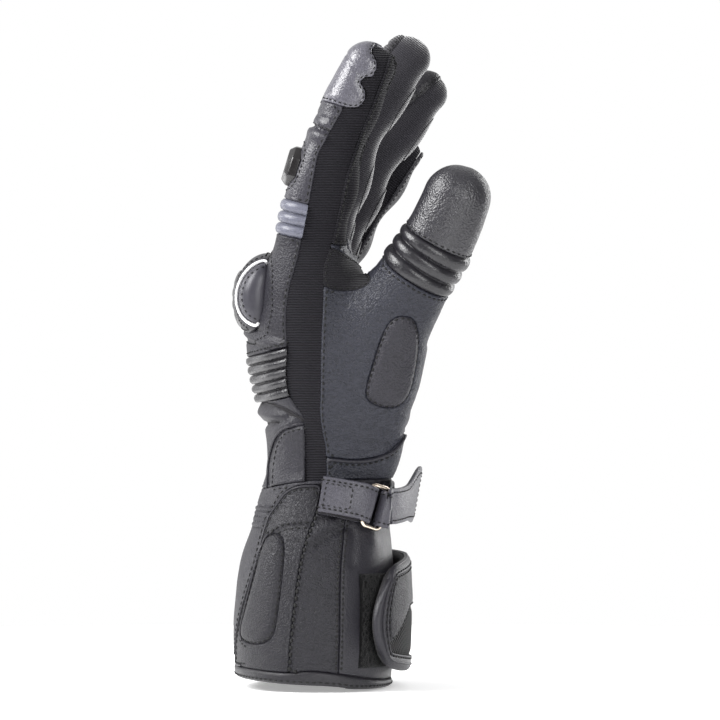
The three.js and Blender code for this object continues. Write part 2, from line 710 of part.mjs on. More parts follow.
// The ring lies square to the anchor, which comes down to it from the wrist's side.
const ringAlong = strapPlace(ringTurn, barLift).place.sub(strapPlace(ringTurn - 8, barLift).place).normalize();
const ringAcross = strapAcross(ringAlong, ringSeat.out);
const ringOut = new THREE.Vector3().crossVectors(ringAlong, ringAcross).normalize();
if (ringOut.dot(ringSeat.out) < 0) ringOut.negate();
const barSpan = ringLength - ringWire; // between the middles of the ring's two long bars

// The turn round one long bar of the ring: sense is 1 for the bar on the strap's side, -1 for the anchor's.
function barTurn(sense) {
  const bar = ringSeat.place.clone().addScaledVector(ringAlong, (sense * barSpan) / 2);
  return [-90, -45, 0, 45, 90].map((turn) => ({
    place: bar
      .clone()
      .addScaledVector(ringAlong, -sense * loopRadius * Math.cos(turn * degrees))
      .addScaledVector(ringOut, loopRadius * Math.sin(turn * degrees)),
    out: ringOut,
    half: strapWidth / 2,
  }));
}

// The band round a bar lies square to the bar, so its faces turn with it.
function loopBand(under, sense, over, thickness) {
  const path = [...under, ...barTurn(sense), ...over];
  return loft(
    path.map(({ place, out, half }, i) => {
      const ahead = path[Math.min(i + 1, path.length - 1)].place;
      const before = path[Math.max(i - 1, 0)].place;
      const along = ahead.clone().sub(before).normalize();
      const near = i >= under.length && i < under.length + 5;
      const across = near ? ringAcross : strapAcross(along, out);
      const up = new THREE.Vector3().crossVectors(across, along).normalize();
      const corner = (a, b) =>
        place.clone().addScaledVector(across, a * half).addScaledVector(up, (b * thickness) / 2);
      return [corner(1, 1), corner(1, -1), corner(-1, -1), corner(-1, 1)];
    }),
  );
}

const turnsBetween = (from, to, steps) =>
  Array.from({ length: steps + 1 }, (_, i) => THREE.MathUtils.lerp(from, to, i / steps));

const anchor = loopBand(
  turnsBetween(-90, -66, 3).map((turn) => strapPlace(turn, underLift)),
  -1,
  turnsBetween(-66, -88, 3).map((turn) => strapPlace(turn, overLift)),
  strapThickness,
);
const tabRows = [
  { at: -34, half: 0.5, lift: 0 },
  { at: -14, half: 0.5, lift: 1.5 },
  { at: -7, half: 0.78, lift: 2.4 },
  { at: 4, half: 0.8, lift: 3.4 },
  { at: 14, half: 0.45, lift: 4.2 },
];
const strap = loopBand(
  turnsBetween(62, -32, 8).map((turn) => strapPlace(turn, underLift)),
  1,
  tabRows.map(({ at, half, lift }) => ({
    ...strapPlace(at, overLift + lift),
    half: half === 0.5 ? strapWidth / 2 : half * (tabWidth / 1.6),
  })),
  strapThickness,
);

const strapRing = (() => {
  const [long, short] = [strapWidth + 2 * gap + 2 * ringWire, ringLength];
  const rectangle = (x, y, cut) =>
    [[-x, cut - y], [-x, y - cut], [cut - x, y], [x - cut, y], [x, y - cut], [x, cut - y], [x - cut, -y], [cut - x, -y]]
      .map(([a, b]) => new THREE.Vector2(a, b));
  const frame = new THREE.Shape(rectangle(short / 2, long / 2, ringWire / 2));
  frame.holes.push(new THREE.Path(rectangle(short / 2 - ringWire, long / 2 - ringWire, gap).reverse()));
  const plate = new THREE.ExtrudeGeometry(frame, { depth: ringWire, bevelEnabled: false });
  const turned = new THREE.Vector3().crossVectors(ringAlong, ringAcross).dot(ringOut) < 0;
  const across = turned ? ringAcross.clone().negate() : ringAcross;
  const place = new THREE.Matrix4().makeBasis(ringAlong, across, ringOut).setPosition(ringSeat.place);
  return solidFrom(plate.translate(0, 0, -ringWire / 2).applyMatrix4(place));
})();

// The glove: each solid becomes a named mesh

const glove = new THREE.Group();

function add(name, solid, look) {
  const { vertProperties, triVerts, numProp } = solid.getMesh();
  const count = vertProperties.length / numProp;
  const place = new Float32Array(count * 3);
  for (let i = 0; i < count; i++)
    place.set(vertProperties.subarray(i * numProp, i * numProp + 3), i * 3);
  const geometry = new THREE.BufferGeometry()
    .setAttribute("position", new THREE.BufferAttribute(place, 3))
    .setIndex(new THREE.BufferAttribute(triVerts, 1));
  geometry.computeVertexNormals();
  const mesh = new THREE.Mesh(geometry, new THREE.MeshStandardMaterial(finish[look]));
  mesh.name = name;
  glove.add(mesh);
}

add("wrist_back", handBack.intersect(level(wristLine, ribsFoot - gap / 2)), "leather");
add("back_ribs", handBack.intersect(level(ribsFoot + gap / 2, ribsTop - gap / 2)), "leather");
add("back_panel", handBack.intersect(level(ribsTop + gap / 2, top)), "leather");
add("gusset_thumb_side", handShell.intersect(gussetRegions[0]), "stretch");
add("gusset_little_side", handShell.intersect(gussetRegions[1]), "stretch");
add("palm_panel", palmShell.intersect(slab(palmSeam + gap / 2, far)), "leather");
add("thumb_panel", palmShell.intersect(slab(-far, palmSeam - gap / 2)), "leather");
add("wrist_front", pastPalm.intersect(heelCutter(-gap / 2)), "leather");
add("thumb_web", pastPalm.intersect(webWindow(-gap / 2)), "stretch");
add("thumb_ribs", thumbRibShell, "leather");
add("thumb_cap", thumbCapShell, "leather");
add("palm_pad", palmPad, "leather");
add("guard_base", guardBase, "leather");
add("guard_plate", guardPlate, "plate");
add("cuff_back", cuffStrip(-far, "piped", halves.both), "leather");
add("cuff_side", cuffStrip("piped", "side", halves.thumb), "leather");
add("cuff_mid", cuffStrip("side", "double", halves.thumb), "leather");
add("cuff_outer", cuffStrip("piped", "double", halves.little), "leather");
add("cuff_palm", cuffStrip("double", far, halves.both), "leather");
add("cuff_pad", cuffPad, "leather");
add("cuff_hem", hemShell, "leather");
add("cuff_flap", cuffFlap, "leather");
add("flap_patch", flapPatch, "hook");
add("strap_anchor", anchor, "leather");
add("strap_ring", strapRing, "metal");
add("wrist_strap", strap, "leather");
fingers.forEach((finger, i) => {
  const looks = { ribs: "greyLeather", wall: "stretch", slider: "plastic" };
  for (const [piece, solid] of Object.entries(fingerPieces(finger, fingerShells[i])))
    add(`${finger.name}_${piece}`, solid, looks[piece] ?? "leather");
});

export default glove;
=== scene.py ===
# %% [markdown]
# # Dressing a leather riding gauntlet
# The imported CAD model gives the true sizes, in metres: +Z from the cuff's mouth to the fingertips, the palm
# towards +X and the thumb on the -Y side. This lesson dresses it: one smooth skin is grown over hand, fingers
# and thumb, cut along the glove's seams into its real panels, and each panel gets its own relief, stitches
# and finish. All sizes below are in millimetres, and the last step of each piece turns them into metres.

import math

import bmesh
import bpy
import numpy as np
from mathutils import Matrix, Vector


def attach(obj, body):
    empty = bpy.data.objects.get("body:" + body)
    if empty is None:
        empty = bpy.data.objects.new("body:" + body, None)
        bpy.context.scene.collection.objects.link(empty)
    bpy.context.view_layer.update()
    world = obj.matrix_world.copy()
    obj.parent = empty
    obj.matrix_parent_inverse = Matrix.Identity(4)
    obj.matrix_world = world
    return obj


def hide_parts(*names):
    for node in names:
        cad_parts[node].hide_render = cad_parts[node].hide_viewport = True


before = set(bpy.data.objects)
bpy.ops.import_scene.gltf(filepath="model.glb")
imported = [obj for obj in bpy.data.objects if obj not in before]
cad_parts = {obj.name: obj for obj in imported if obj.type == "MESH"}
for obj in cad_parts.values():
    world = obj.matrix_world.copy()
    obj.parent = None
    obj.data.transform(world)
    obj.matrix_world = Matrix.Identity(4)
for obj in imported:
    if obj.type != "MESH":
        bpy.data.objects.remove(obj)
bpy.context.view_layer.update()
MM = 0.001
CELL = 1.05

# %% [markdown]
# ## Camera
# A product photograph like this one is taken level, from a few metres, with a long lens, so that the glove
# hardly tapers. The camera looks along +Y, and its field of view is worked out from the height that the
# frame has to show.

# %% Camera
VIEW_HEIGHT = 331.2
VIEW_MIDDLE = (18.4, 149.5)
VIEW_DISTANCE = 2600


def add_object(name, data):
    """A new object in the scene, holding the data."""
    obj = bpy.data.objects.new(name, data)
    bpy.context.scene.collection.objects.link(obj)
    return obj


lens = bpy.data.cameras.new("photo_camera")
lens.sensor_fit = "HORIZONTAL"
lens.sensor_width = 36
lens.lens = 36 * VIEW_DISTANCE / VIEW_HEIGHT
camera = add_object("photo_camera", lens)
camera.location = Vector((VIEW_MIDDLE[0], -VIEW_DISTANCE, VIEW_MIDDLE[1])) * MM
camera.rotation_euler = (math.pi / 2, 0, 0)
bpy.context.scene.camera = camera
print("lens", round(lens.lens), "mm")

# %% [markdown]
# ## Reading tables smoothly
# A glove is measured in sections, so its shape is kept in short tables. Straight lines between the rows
# would show as creases in the leather. A cubic curve through the rows, read at many places, keeps the
# tables short and the skin smooth.


# %% Smooth tables
def curved(rows, steps=16):
    """The rows of a table with a cubic curve drawn through each column, the first being the place."""
    t = np.asarray(rows, float)
    slope = np.gradient(t, t[:, 0], axis=0)
    u = np.linspace(0, 1, steps, endpoint=False)[:, None]
    spans = []
    for a, b, ma, mb in zip(t[:-1], t[1:], slope[:-1], slope[1:]):
        h = b[0] - a[0]
        spans.append(
            (2 * u**3 - 3 * u**2 + 1) * a
            + (u**3 - 2 * u**2 + u) * h * ma
            + (3 * u**2 - 2 * u**3) * b
            + (u**3 - u**2) * h * mb
        )
    return np.vstack([*spans, t[-1:]])


def read(table, column, at):
    return np.interp(at, table[:, 0], table[:, column])


def smooth_step(x, low=0.0, high=1.0):
    t = np.clip((x - low) / (high - low), 0, 1)
    return t * t * (3 - 2 * t)


print("a smooth step is at", round(float(smooth_step(0.25)), 3), "a quarter of the way")

# %% [markdown]
# ## The hand and cuff as a distance field
# A field gives each point in space its distance to the skin, below zero inside. Fields can be melted
# together, which is how a web of leather joins a thumb to a palm, and that is hard to model by hand. The
# hand and cuff are rounded rectangles stacked up the glove. Each row is a height, how far the back and the
# palm stand out, half the width, and how far the little-finger side has dropped.

# %% Hand and cuff
BODY = curved(
    [
        (-14, 35.6, 31.0, 54.2, 0),
        (-3, 36.8, 31.7, 55.3, 0),
        (20, 39.6, 34.0, 57.0, 0),
        (40, 38.9, 34.3, 55.0, 0),
        (58, 36.6, 33.2, 51.5, 0),
        (74, 31.4, 31.8, 46.2, 0),
        (87, 27.8, 31.2, 42.0, 0),
        (98, 24.6, 31.4, 40.5, 0),
        (110, 24.4, 31.4, 41.5, 0),
        (123, 26.6, 30.5, 44.5, 0),
        (133, 29.6, 29.6, 46.3, 0),
        (152, 33.4, 27.5, 48.3, 0),
        (168, 34.0, 25.6, 49.3, 2),
        (182, 31.0, 23.0, 49.3, 5),
        (193, 28.0, 20.5, 48.0, 9),
        (202, 25.0, 18.0, 45.6, 12),
        (216, 22.0, 15.0, 43.0, 14),
    ]
)
BODY_POWER = 2.4
HAND_TOP = 205.0


def rounded_box(u, v, a, b, power):
    """Distance to a rounded rectangle of half sizes a and b, good near its edge."""
    pu, pv = np.abs(u / a) + 1e-6, np.abs(v / b) + 1e-6
    f = (pu**power + pv**power) ** (1 / power)
    steep = np.hypot((pu / f) ** (power - 1) / a, (pv / f) ** (power - 1) / b)
    return (f - 1) / steep


def melt(a, b, reach):
    """The union of two fields, filled where they lie within reach of each other."""
    h = np.clip(reach - np.abs(a - b), 0, None) / reach
    return np.minimum(a, b) - h * h * reach / 4


def undropped(p):
    x, y, z = p.T
    level = z
    for _ in range(2):
        across = np.clip(y / read(BODY, 3, level), -1, 1)
        level = z + read(BODY, 4, level) * (1 + across) / 2
    return level


def body_field(p):
    level = undropped(p)
    back, palm, half = (read(BODY, column, level) for column in (1, 2, 3))
    side = rounded_box(p[:, 0] - (palm - back) / 2, p[:, 1], (palm + back) / 2, half, BODY_POWER)
    return -melt(-side, HAND_TOP - level, 14)


print("wrist", read(BODY, 3, 98) * 2, "mm wide")

# %% [markdown]
# ## Fingers and thumb
# A finger is a tube swept along a bent centre line. Every point finds its nearest place on that line, and
# then its offsets towards the palm and towards the little finger. The same three numbers later say where
# the finger's seams, ribs and caps run.


# %% Tubes
class Tube:
    """A swept finger: joints are its centre line, rows are (share of length, depth, width) half sizes."""

    def __init__(self, joints, rows, power, tip, root=12.0, steps=100, fullness=0.0):
        self.fullness = fullness
        joints = np.asarray(joints, float)
        reach = np.r_[0, np.cumsum(np.linalg.norm(np.diff(joints, axis=0), axis=1))]
        line = curved(np.c_[reach, joints], 40)[:, 1:]
        run = np.r_[0, np.cumsum(np.linalg.norm(np.diff(line, axis=0), axis=1))]
        self.long = run[-1]
        self.at = np.linspace(0, self.long, steps)
        self.centre = np.c_[[np.interp(self.at, run, line[:, i]) for i in range(3)]].T
        along = np.gradient(self.centre, self.at, axis=0)
        self.along = along / np.linalg.norm(along, axis=1)[:, None]
        side = np.array([0, 1, 0]) - self.along * self.along[:, 1:2]
        self.side = side / np.linalg.norm(side, axis=1)[:, None]
        self.front = np.cross(self.side, self.along)
        self.rows = curved(rows)
        self.power, self.tip, self.root = power, tip, root

    def place(self, p):
        """Run along the tube, offset to the palm side and offset to the little finger's side."""
        squares = (self.centre**2).sum(1) - 2 * p @ self.centre.T
        i = squares.argmin(1)
        off = p - self.centre[i]
        run = (off * self.along[i]).sum(1)
        step = self.at[1] / 2
        inner = (i > 0) & (i < len(self.at) - 1)
        run = np.where(inner, np.clip(run, -step, step), run)
        return self.at[i] + run, (off * self.front[i]).sum(1), (off * self.side[i]).sum(1)

    def halves(self, run):
        share = run / self.long
        return read(self.rows, 1, share), read(self.rows, 2, share)

    def pulp(self, run, u):
        """How much fuller the palm side is between the joints."""
        share = np.clip(run / self.long, 0, 1)
        wave = np.sin(math.tau * (share - 0.32) / 0.34)
        here = smooth_step(u, 0, 8) * smooth_step(share, 0.2, 0.35) * smooth_step(-share, -1, -0.85)
        return 1 + self.fullness * wave * here

    def field(self, p):
        run, u, v = self.place(p)
        a, b = self.halves(run)
        a = a * self.pulp(run, u)
        disc = rounded_box(u, v, a, b, self.power)
        f = 1 + disc / np.minimum(a, b)
        past = np.clip(run - (self.long - self.tip), 0, None) / self.tip
        before = np.clip(-run, 0, None) / self.root
        w = np.maximum(past, before)
        whole = (np.hypot(np.maximum(f, 0), w) - 1) * np.minimum(a, b)
        return np.where(w > 0, whole, disc)


def finger_line(start, bones, bends, splay):
    joints = [np.array(start, float)]
    for bone, bend in zip(bones, bends):
        lean = np.array(
            [math.sin(math.radians(bend)), math.sin(math.radians(splay)), math.cos(math.radians(bend))]
        )
        joints.append(joints[-1] + lean / np.linalg.norm(lean) * bone)
    return joints


FINGER_SECTION = [
    (0, 0.96, 0.94), (0.2, 1, 0.98), (0.45, 0.94, 1), (0.6, 0.85, 0.97), (0.76, 0.79, 0.93),
    (0.9, 0.76, 0.87), (1, 0.74, 0.82),
]
FINGERS = {
    "index": ((-7.6, -33.8, 183), 115.2, 25, 31.2, (11.2, 19.4, 26.6), -5),
    "middle": ((-6.0, -10.8, 186), 123, 25.5, 30, (17, 27, 37), -1),
    "ring": ((-4.1, 11.8, 182), 116, 24, 28, (23, 34.5, 39.5), 3),
    "little": ((-6.0, 32.8, 174), 94, 21.5, 25.6, (27, 35, 35), 8),
}
tubes = {}
for name, (start, long, wide, deep, bends, splay) in FINGERS.items():
    bones = [long * share for share in (0.41, 0.31, 0.28)]
    section = [(at, deep / 2 * d, wide / 2 * w) for at, d, w in FINGER_SECTION]
    tubes[name] = Tube(finger_line(start, bones, bends, splay), section, 2.5, wide * 0.42, fullness=0.1)

THUMB = [
    # x, y, z, half depth, half width
    (13.9, -19.6, 92, 12.2, 10.8),
    (16.8, -23.0, 103.2, 18.4, 13.3),
    (18.0, -26.0, 122, 22.0, 16.7),
    (22.3, -29.4, 145.2, 24.2, 18.6),
    (28.6, -33.8, 165.5, 23.0, 18.0),
    (38.0, -38.2, 178.4, 18.8, 16.8),
    (44.4, -42.1, 188.8, 17.0, 15.6),
    (53.9, -46.6, 203.8, 16.3, 15.2),
    (61.2, -50.0, 220.2, 15.4, 14.4),
    (66.2, -52.6, 236.6, 14.6, 13.6),
]
THUMB = np.array(THUMB, float)
thumb_reach = np.r_[0, np.cumsum(np.linalg.norm(np.diff(THUMB[:, :3], axis=0), axis=1))]
thumb_rows = np.c_[thumb_reach / thumb_reach[-1], THUMB[:, 3], THUMB[:, 4]]
tubes["thumb"] = Tube(THUMB[:, :3], thumb_rows, 2.15, 13.5)
print({name: round(tube.long) for name, tube in tubes.items()}, "mm long")


# %% [markdown]
# ## One field for the whole glove
# The fingers melt into the hand over a few millimetres, and the thumb over more, so that a web forms
# between it and the index finger.

# %% The whole field
FAR = 60.0


def near_tube(tube, p, margin=14.0):
    low, high = tube.centre.min(0) - 26 - margin, tube.centre.max(0) + 26 + margin
    return ((p > low) & (p < high)).all(1)


def tube_field(name, p):
    out = np.full(len(p), FAR)
    close = near_tube(tubes[name], p)
    out[close] = tubes[name].field(p[close])
    return out


def glove_field(p):
    body = body_field(p)
    hand = body
    for name in FINGERS:
        hand = np.minimum(hand, melt(body, tube_field(name, p), 6))
    return melt(hand, tube_field("thumb", p), 9)


print("middle of the wrist", glove_field(np.array([[0.0, 0.0, 120.0]])).round(1)[0], "mm from the skin")

# %% [markdown]
# ## From field to mesh
# Surface nets put one vertex in every cell that the skin passes through, and join the four cells round
# each crossed edge with a face. The vertices are then pulled exactly onto the skin along the field's slope,
# so the mesh is smooth although its cells are a millimetre wide.

# %% Surface nets
CORNERS = np.array([(i, j, k) for i in (0, 1) for j in (0, 1) for k in (0, 1)])
EDGES = [(a, b) for a in range(8) for b in range(a + 1, 8) if abs(CORNERS[a] - CORNERS[b]).sum() == 1]


def surface_net(field, low, high, cell):
    counts = np.ceil((np.asarray(high) - low) / cell).astype(int)
    axes = [low[i] + cell * np.arange(counts[i]) for i in range(3)]
    values = np.empty(counts, np.float32)
    for i, x in enumerate(axes[0]):
        y, z = np.meshgrid(axes[1], axes[2], indexing="ij")
        values[i] = field(np.c_[np.full(y.size, x), y.ravel(), z.ravel()]).reshape(y.shape)
    inside = values < 0
    spans = [[slice(shift, count - 1 + shift) for shift, count in zip(corner, counts)] for corner in CORNERS]
    corner_values = [values[tuple(span)] for span in spans]
    signs = sum((v < 0).astype(np.int8) for v in corner_values)
    cells = np.argwhere((signs > 0) & (signs < 8))
    at = tuple(cells.T)
    corners = np.stack([v[at] for v in corner_values], 1)
    total, hits = np.zeros((len(cells), 3)), np.zeros(len(cells))
    for a, b in EDGES:
        va, vb = corners[:, a], corners[:, b]
        cross = (va < 0) != (vb < 0)
        t = np.where(cross, va / np.where(cross, va - vb, 1), 0)[:, None]
        total += np.where(cross[:, None], CORNERS[a] + (CORNERS[b] - CORNERS[a]) * t, 0)
        hits += cross
    points = (cells + total / hits[:, None]) * cell + low
    number = np.full(counts - 1, -1)
    number[at] = np.arange(len(cells))
    faces = []
    for axis in range(3):
        j, k = (axis + 1) % 3, (axis + 2) % 3
        step = np.eye(3, dtype=int)
        shape = [slice(1, -1)] * 3
        shape[axis] = slice(0, -1)
        first = inside[tuple(shape)]
        shape[axis] = slice(1, None)
        crossing = np.argwhere(first != inside[tuple(shape)])
        base = crossing + 1 - step[axis]
        ring = [number[tuple((base - off).T)] for off in (0 * step[j], step[j], step[j] + step[k], step[k])]
        quads = np.stack(ring, 1)
        outward = first[tuple(crossing.T)]
        faces += [quads[outward], quads[~outward][:, ::-1]]
    return points, np.vstack(faces)


def slope_of(field, p, h=0.25):
    steps = np.eye(3) * h
    return np.stack([(field(p + s) - field(p - s)) / (2 * h) for s in steps], 1)


def pull_on(field, p, rounds=2):
    for _ in range(rounds):
        slope = slope_of(field, p)
        size = np.maximum((slope**2).sum(1), 0.2)
        p = p - slope * (field(p) / size)[:, None].clip(-0.8, 0.8)
    slope = slope_of(field, p)
    return p, slope / np.linalg.norm(slope, axis=1)[:, None]


SKIN_LOW, SKIN_HIGH = np.array([-46, -68, -9.0]), np.array([86, 62, 308.0])
LINING_DEPTH, LINING_CELL = 1.9, 3.0


def lining_field(p):
    """The same glove, drawn in by the depth at which the lining lies."""
    return glove_field(p) + LINING_DEPTH


skin_points, skin_quads = surface_net(glove_field, SKIN_LOW, SKIN_HIGH, CELL)
skin_points, skin_normals = pull_on(glove_field, skin_points)
inner_points, inner_quads = surface_net(lining_field, SKIN_LOW, SKIN_HIGH, LINING_CELL)
inner_points, inner_normals = pull_on(lining_field, inner_points)
print(len(skin_points), "points", len(skin_quads), "faces on the skin,", len(inner_points), "on the lining")

# %% [markdown]
# ## Numbers carried by the skin
# Each point of the skin carries a row of numbers: its place, its outward normal, and fields such as how far
# it lies from a seam. Cutting a face makes new points whose rows are blended from the old ones, so every
# number stays right along the cut.


# %% Patches of skin
class Patch:
    """A part of the skin: rows of numbers, whole faces as an array, and cut faces as lists."""

    columns = {}

    def __init__(self, rows, quads, loose=()):
        self.rows, self.quads, self.loose = rows, quads, list(loose)

    def __getitem__(self, name):
        return self.rows[:, self.columns[name]]

    def __setitem__(self, name, values):
        self.rows[:, self.columns[name]] = values

    @property
    def at(self):
        return self.rows[:, :3]

    def cut(self, name, level=0.0, both=False):
        """Keeps what lies above the level of a field. With both, the faces are only split there."""
        value = self[name] - level
        above = value > 0
        count = above[self.quads].sum(1)
        whole = self.quads[(count == 4) | (both & (count == 0))]
        mixed = self.quads[(count > 0) & (count < 4)]
        added, made, loose = [], {}, []

        def crossing(a, b):
            key = (min(a, b), max(a, b))
            if key not in made:
                made[key] = len(self.rows) + len(added)
                added.append(
                    self.rows[a] + (self.rows[b] - self.rows[a]) * (value[a] / (value[a] - value[b]))
                )
            return made[key]

        for face in [*mixed.tolist(), *self.loose]:
            for wanted in (True, False) if both else (True,):
                part = []
                for a, b in zip(face, face[1:] + face[:1]):
                    if above[a] == wanted:
                        part.append(a)
                    if above[a] != above[b]:
                        part.append(crossing(a, b))
                if len(part) > 2:
                    loose.append(part)
        rows = np.vstack([self.rows, np.array(added)]) if added else self.rows.copy()
        return Patch(rows, whole, loose)

    def used(self):
        """The same patch without the points that none of its faces use."""
        faces = [*self.quads.tolist(), *self.loose]
        keep = np.unique(np.concatenate([np.array(f) for f in faces])) if faces else np.array([], int)
        number = np.full(len(self.rows), -1)
        number[keep] = np.arange(len(keep))
        return Patch(self.rows[keep], number[self.quads], [number[f].tolist() for f in self.loose])


FIELDS = ["x", "y", "z", "nx", "ny", "nz", "edge", "along", "value"]
Patch.columns = {name: i for i, name in enumerate(FIELDS)}


def skin_table(points, normals):
    """A row of numbers for each point, with its place and its way out filled in."""
    table = np.zeros((len(points), len(FIELDS)))
    table[:, :3], table[:, 3:6] = points, normals
    return table


skin_edges = np.unique(
    np.sort(np.vstack([skin_quads[:, [i, (i + 1) % 4]] for i in range(4)]), axis=1), axis=0
)
edge_length = np.linalg.norm(skin_points[skin_edges[:, 0]] - skin_points[skin_edges[:, 1]], axis=1)
valence = np.bincount(skin_edges.ravel(), minlength=len(skin_points))


def even(value):
    """A field divided by its steepness along the skin, so that it reads as a distance near zero."""
    rise = ((value[skin_edges[:, 1]] - value[skin_edges[:, 0]]) / edge_length) ** 2
    total = sum(np.bincount(skin_edges[:, end], rise, len(skin_points)) for end in (0, 1))
    return value / np.clip(np.sqrt(2 * total / valence), 0.35, 3)


print(len(skin_edges), "edges on the skin")

# %% [markdown]
# ## Seams seen from the thumb side
# A pattern cutter draws each seam as a line on the flat leather. Here each seam is a short line of places
# (x, z) as seen from the thumb side, rounded, and every point of the skin gets its distance to it: above
# zero on one side and below on the other. A patch or pad is a closed line, with distances above zero inside.


# %% Seam lines
def rounded(line, closed=False, rounds=2):
    line = np.asarray(line, float)
    for _ in range(rounds):
        a, b = (line, np.roll(line, -1, 0)) if closed else (line[:-1], line[1:])
        middle = np.stack([0.75 * a + 0.25 * b, 0.25 * a + 0.75 * b], 1).reshape(-1, 2)
        line = middle if closed else np.vstack([line[:1], middle, line[-1:]])
    return line


def nearest(line, x, z):
    """Distance to a line of places, and which side the nearest stretch has the point on."""
    best, side = np.full(len(x), 1e9), np.ones(len(x))
    for (ax, az), (bx, bz) in zip(line[:-1], line[1:]):
        dx, dz = bx - ax, bz - az
        t = np.clip(((x - ax) * dx + (z - az) * dz) / (dx * dx + dz * dz + 1e-9), 0, 1)
        away = np.hypot(x - ax - t * dx, z - az - t * dz)
        cross = dx * (z - az) - dz * (x - ax)
        closer = away < best
        best = np.where(closer, away, best)
        side = np.where(closer, np.sign(cross), side)
    return best, side


def beside(line, x, z):
    """Signed distance to an open line, above zero on the left of the way it is drawn, seen from +Y."""
    away, side = nearest(rounded(line), x, z)
    return away * side


def within(line, x, z):
    """Signed distance to a closed outline, above zero inside."""
    ring = rounded(line, closed=True)
    ring = np.vstack([ring, ring[:1]])
    away, _ = nearest(ring, x, z)
    inside = np.zeros(len(x), bool)
    for (ax, az), (bx, bz) in zip(ring[:-1], ring[1:]):
        spans = (az > z) != (bz > z)
        inside ^= spans & (x < ax + (z - az) * (bx - ax) / (bz - az + 1e-12))
    return np.where(inside, away, -away)


SEAMS = {
    # where the stretch cloth meets the back of the hand, from the fingertip down
    "back_seam": [
        (12, 297), (12, 274), (11, 262.7), (7.8, 257.6), (3.2, 248.9), (-0.5, 243.3), (-1.8, 236),
        (-3.2, 228.2), (-5.1, 218), (-7.4, 206.1), (-9.2, 197.8), (-11, 190.9), (-13.8, 182.2),
        (-15.2, 171.1), (-15.2, 162.4), (-14.3, 152.3), (-15.2, 143.5), (-13.8, 132.5), (-8.7, 126),
        (-6.4, 122.8), (-6.4, 60),
    ],
    # where it meets the palm
    "palm_seam": [
        (35.9, 301.3), (32.2, 287.5), (29.9, 280.6), (25.8, 269.1), (21.2, 257.6), (16.6, 246.1), (11.5, 230),
        (9.7, 220.3), (7.8, 212.1), (5.5, 200.1), (1.8, 191.8), (2.3, 182.2), (0.9, 159.6), (0.5, 134.8),
        (0, 125.1), (1.4, 115.9), (3.2, 108.6), (3.7, 60),
    ],
    # the scalloped edge of the index finger's cap
    "cap_edge": [
        (27.5, 297), (25.8, 292.1), (23.5, 288.9), (26.4, 284.7), (26.2, 280.1), (23.9, 276.5), (19.4, 276),
        (18.5, 274.6), (21.8, 270.5), (21.2, 266.8), (18.9, 263.4), (15.6, 262.2), (9.2, 264.2), (2.3, 266.6),
        (-8, 270.2),
    ],
    # the piped seam at the palm's heel, and the wrist seam
    "heel": [
        (-20, 105.8), (4.6, 105.3), (13.8, 104), (23, 104.4), (31.3, 107.2), (35.4, 110.4), (39.6, 116.8),
        (46, 131.1), (55.2, 149.5),
    ],
    "wrist": [(-50, 86), (-36.8, 87.9), (-29.4, 89.7), (-23, 92), (-9.2, 94.3), (2.3, 95.2), (60, 95.6)],
    # the cuff's long seams
    "piped": [
        (11.5, 92.7), (2.3, 92.9), (-6.9, 93), (-12.4, 91.6), (-17, 88.3), (-19.8, 83.7), (-23, 79.6),
        (-25.3, 72.2), (-28.5, 57.5), (-31.7, 48.3), (-35, 38.2), (-37.3, 27.6), (-38.6, 18.4), (-38.9, -12),
    ],
    "zigzag": [
        (1.8, 104), (1.4, 98.9), (0.5, 85.1), (-3.2, 75.9), (-7.8, 62.1), (-10.1, 48.3), (-12.4, 29.9),
        (-13.8, 9.7), (-14.3, -12),
    ],
    "double": [(14, 104), (13.3, 94.3), (11.5, 72.7), (9.7, 57.5), (9.2, 29.9), (8.7, 9.7), (8.3, -12)],
    "hem_top": [
        (-60, 10.6), (-43.7, 10.6), (-36.8, 10.1), (-13.8, 8.3), (-3.7, 9.7), (11.5, 7.8), (32.2, 3.7),
        (60, 1.6),
    ],
    "crease": [(-21.6, 69.5), (-18.4, 73.1), (-12.9, 74.5), (-3.7, 75)],
    "wrist_pad": [(-4, 120.6), (-13.8, 119.1), (-18.4, 116.4), (-21.2, 110.4), (-23, 101.2), (-23.5, 85)],
}
OUTLINES = {
    "web": [(4.6, 201.4), (12, 197.3), (18.9, 193.2), (24.5, 184.9), (15.6, 180.6), (2, 181.6), (-1, 190)],
    "palm_pad": [
        (35.9, 169.4), (42.8, 168.3), (45.2, 161), (44.8, 151.8), (42.3, 138), (39.1, 130.6), (34.5, 127.6),
        (27, 128.2), (21.6, 131.6), (21, 135.7), (23.4, 144.9), (27, 156.4), (30.8, 166),
    ],
    "cuff_pad": [
        (-22.3, 70.9), (-17, 70.9), (-15.5, 64.4), (-17.2, 48.3), (-19.5, 29.9), (-21.4, 23.6), (-26.7, 20.9),
        (-34.4, 21.4), (-36, 26.2), (-32.8, 39.1), (-29.2, 52.9), (-25.4, 67),
    ],
}
x, y, z = skin_points.T
level = np.where(y > 0, undropped(skin_points), z)
seen = {name: beside(line, x, level) for name, line in SEAMS.items()}
thumb_side = y < 0
areas = {name: np.where(thumb_side, within(line, x, z), -20) for name, line in OUTLINES.items()}
print(len(SEAMS), "seams and", len(OUTLINES), "outlines")

# %% [markdown]
# ## Which panel is where
# A point belongs to the finger whose tube it lies closest to. Panels are then written as conditions: the
# smallest of several distances is above zero only where all of them are, so the panel "finger, back, above
# the ribs" is the smallest of three numbers.


# %% Panels
def both(*fields):
    return np.minimum.reduce(fields)


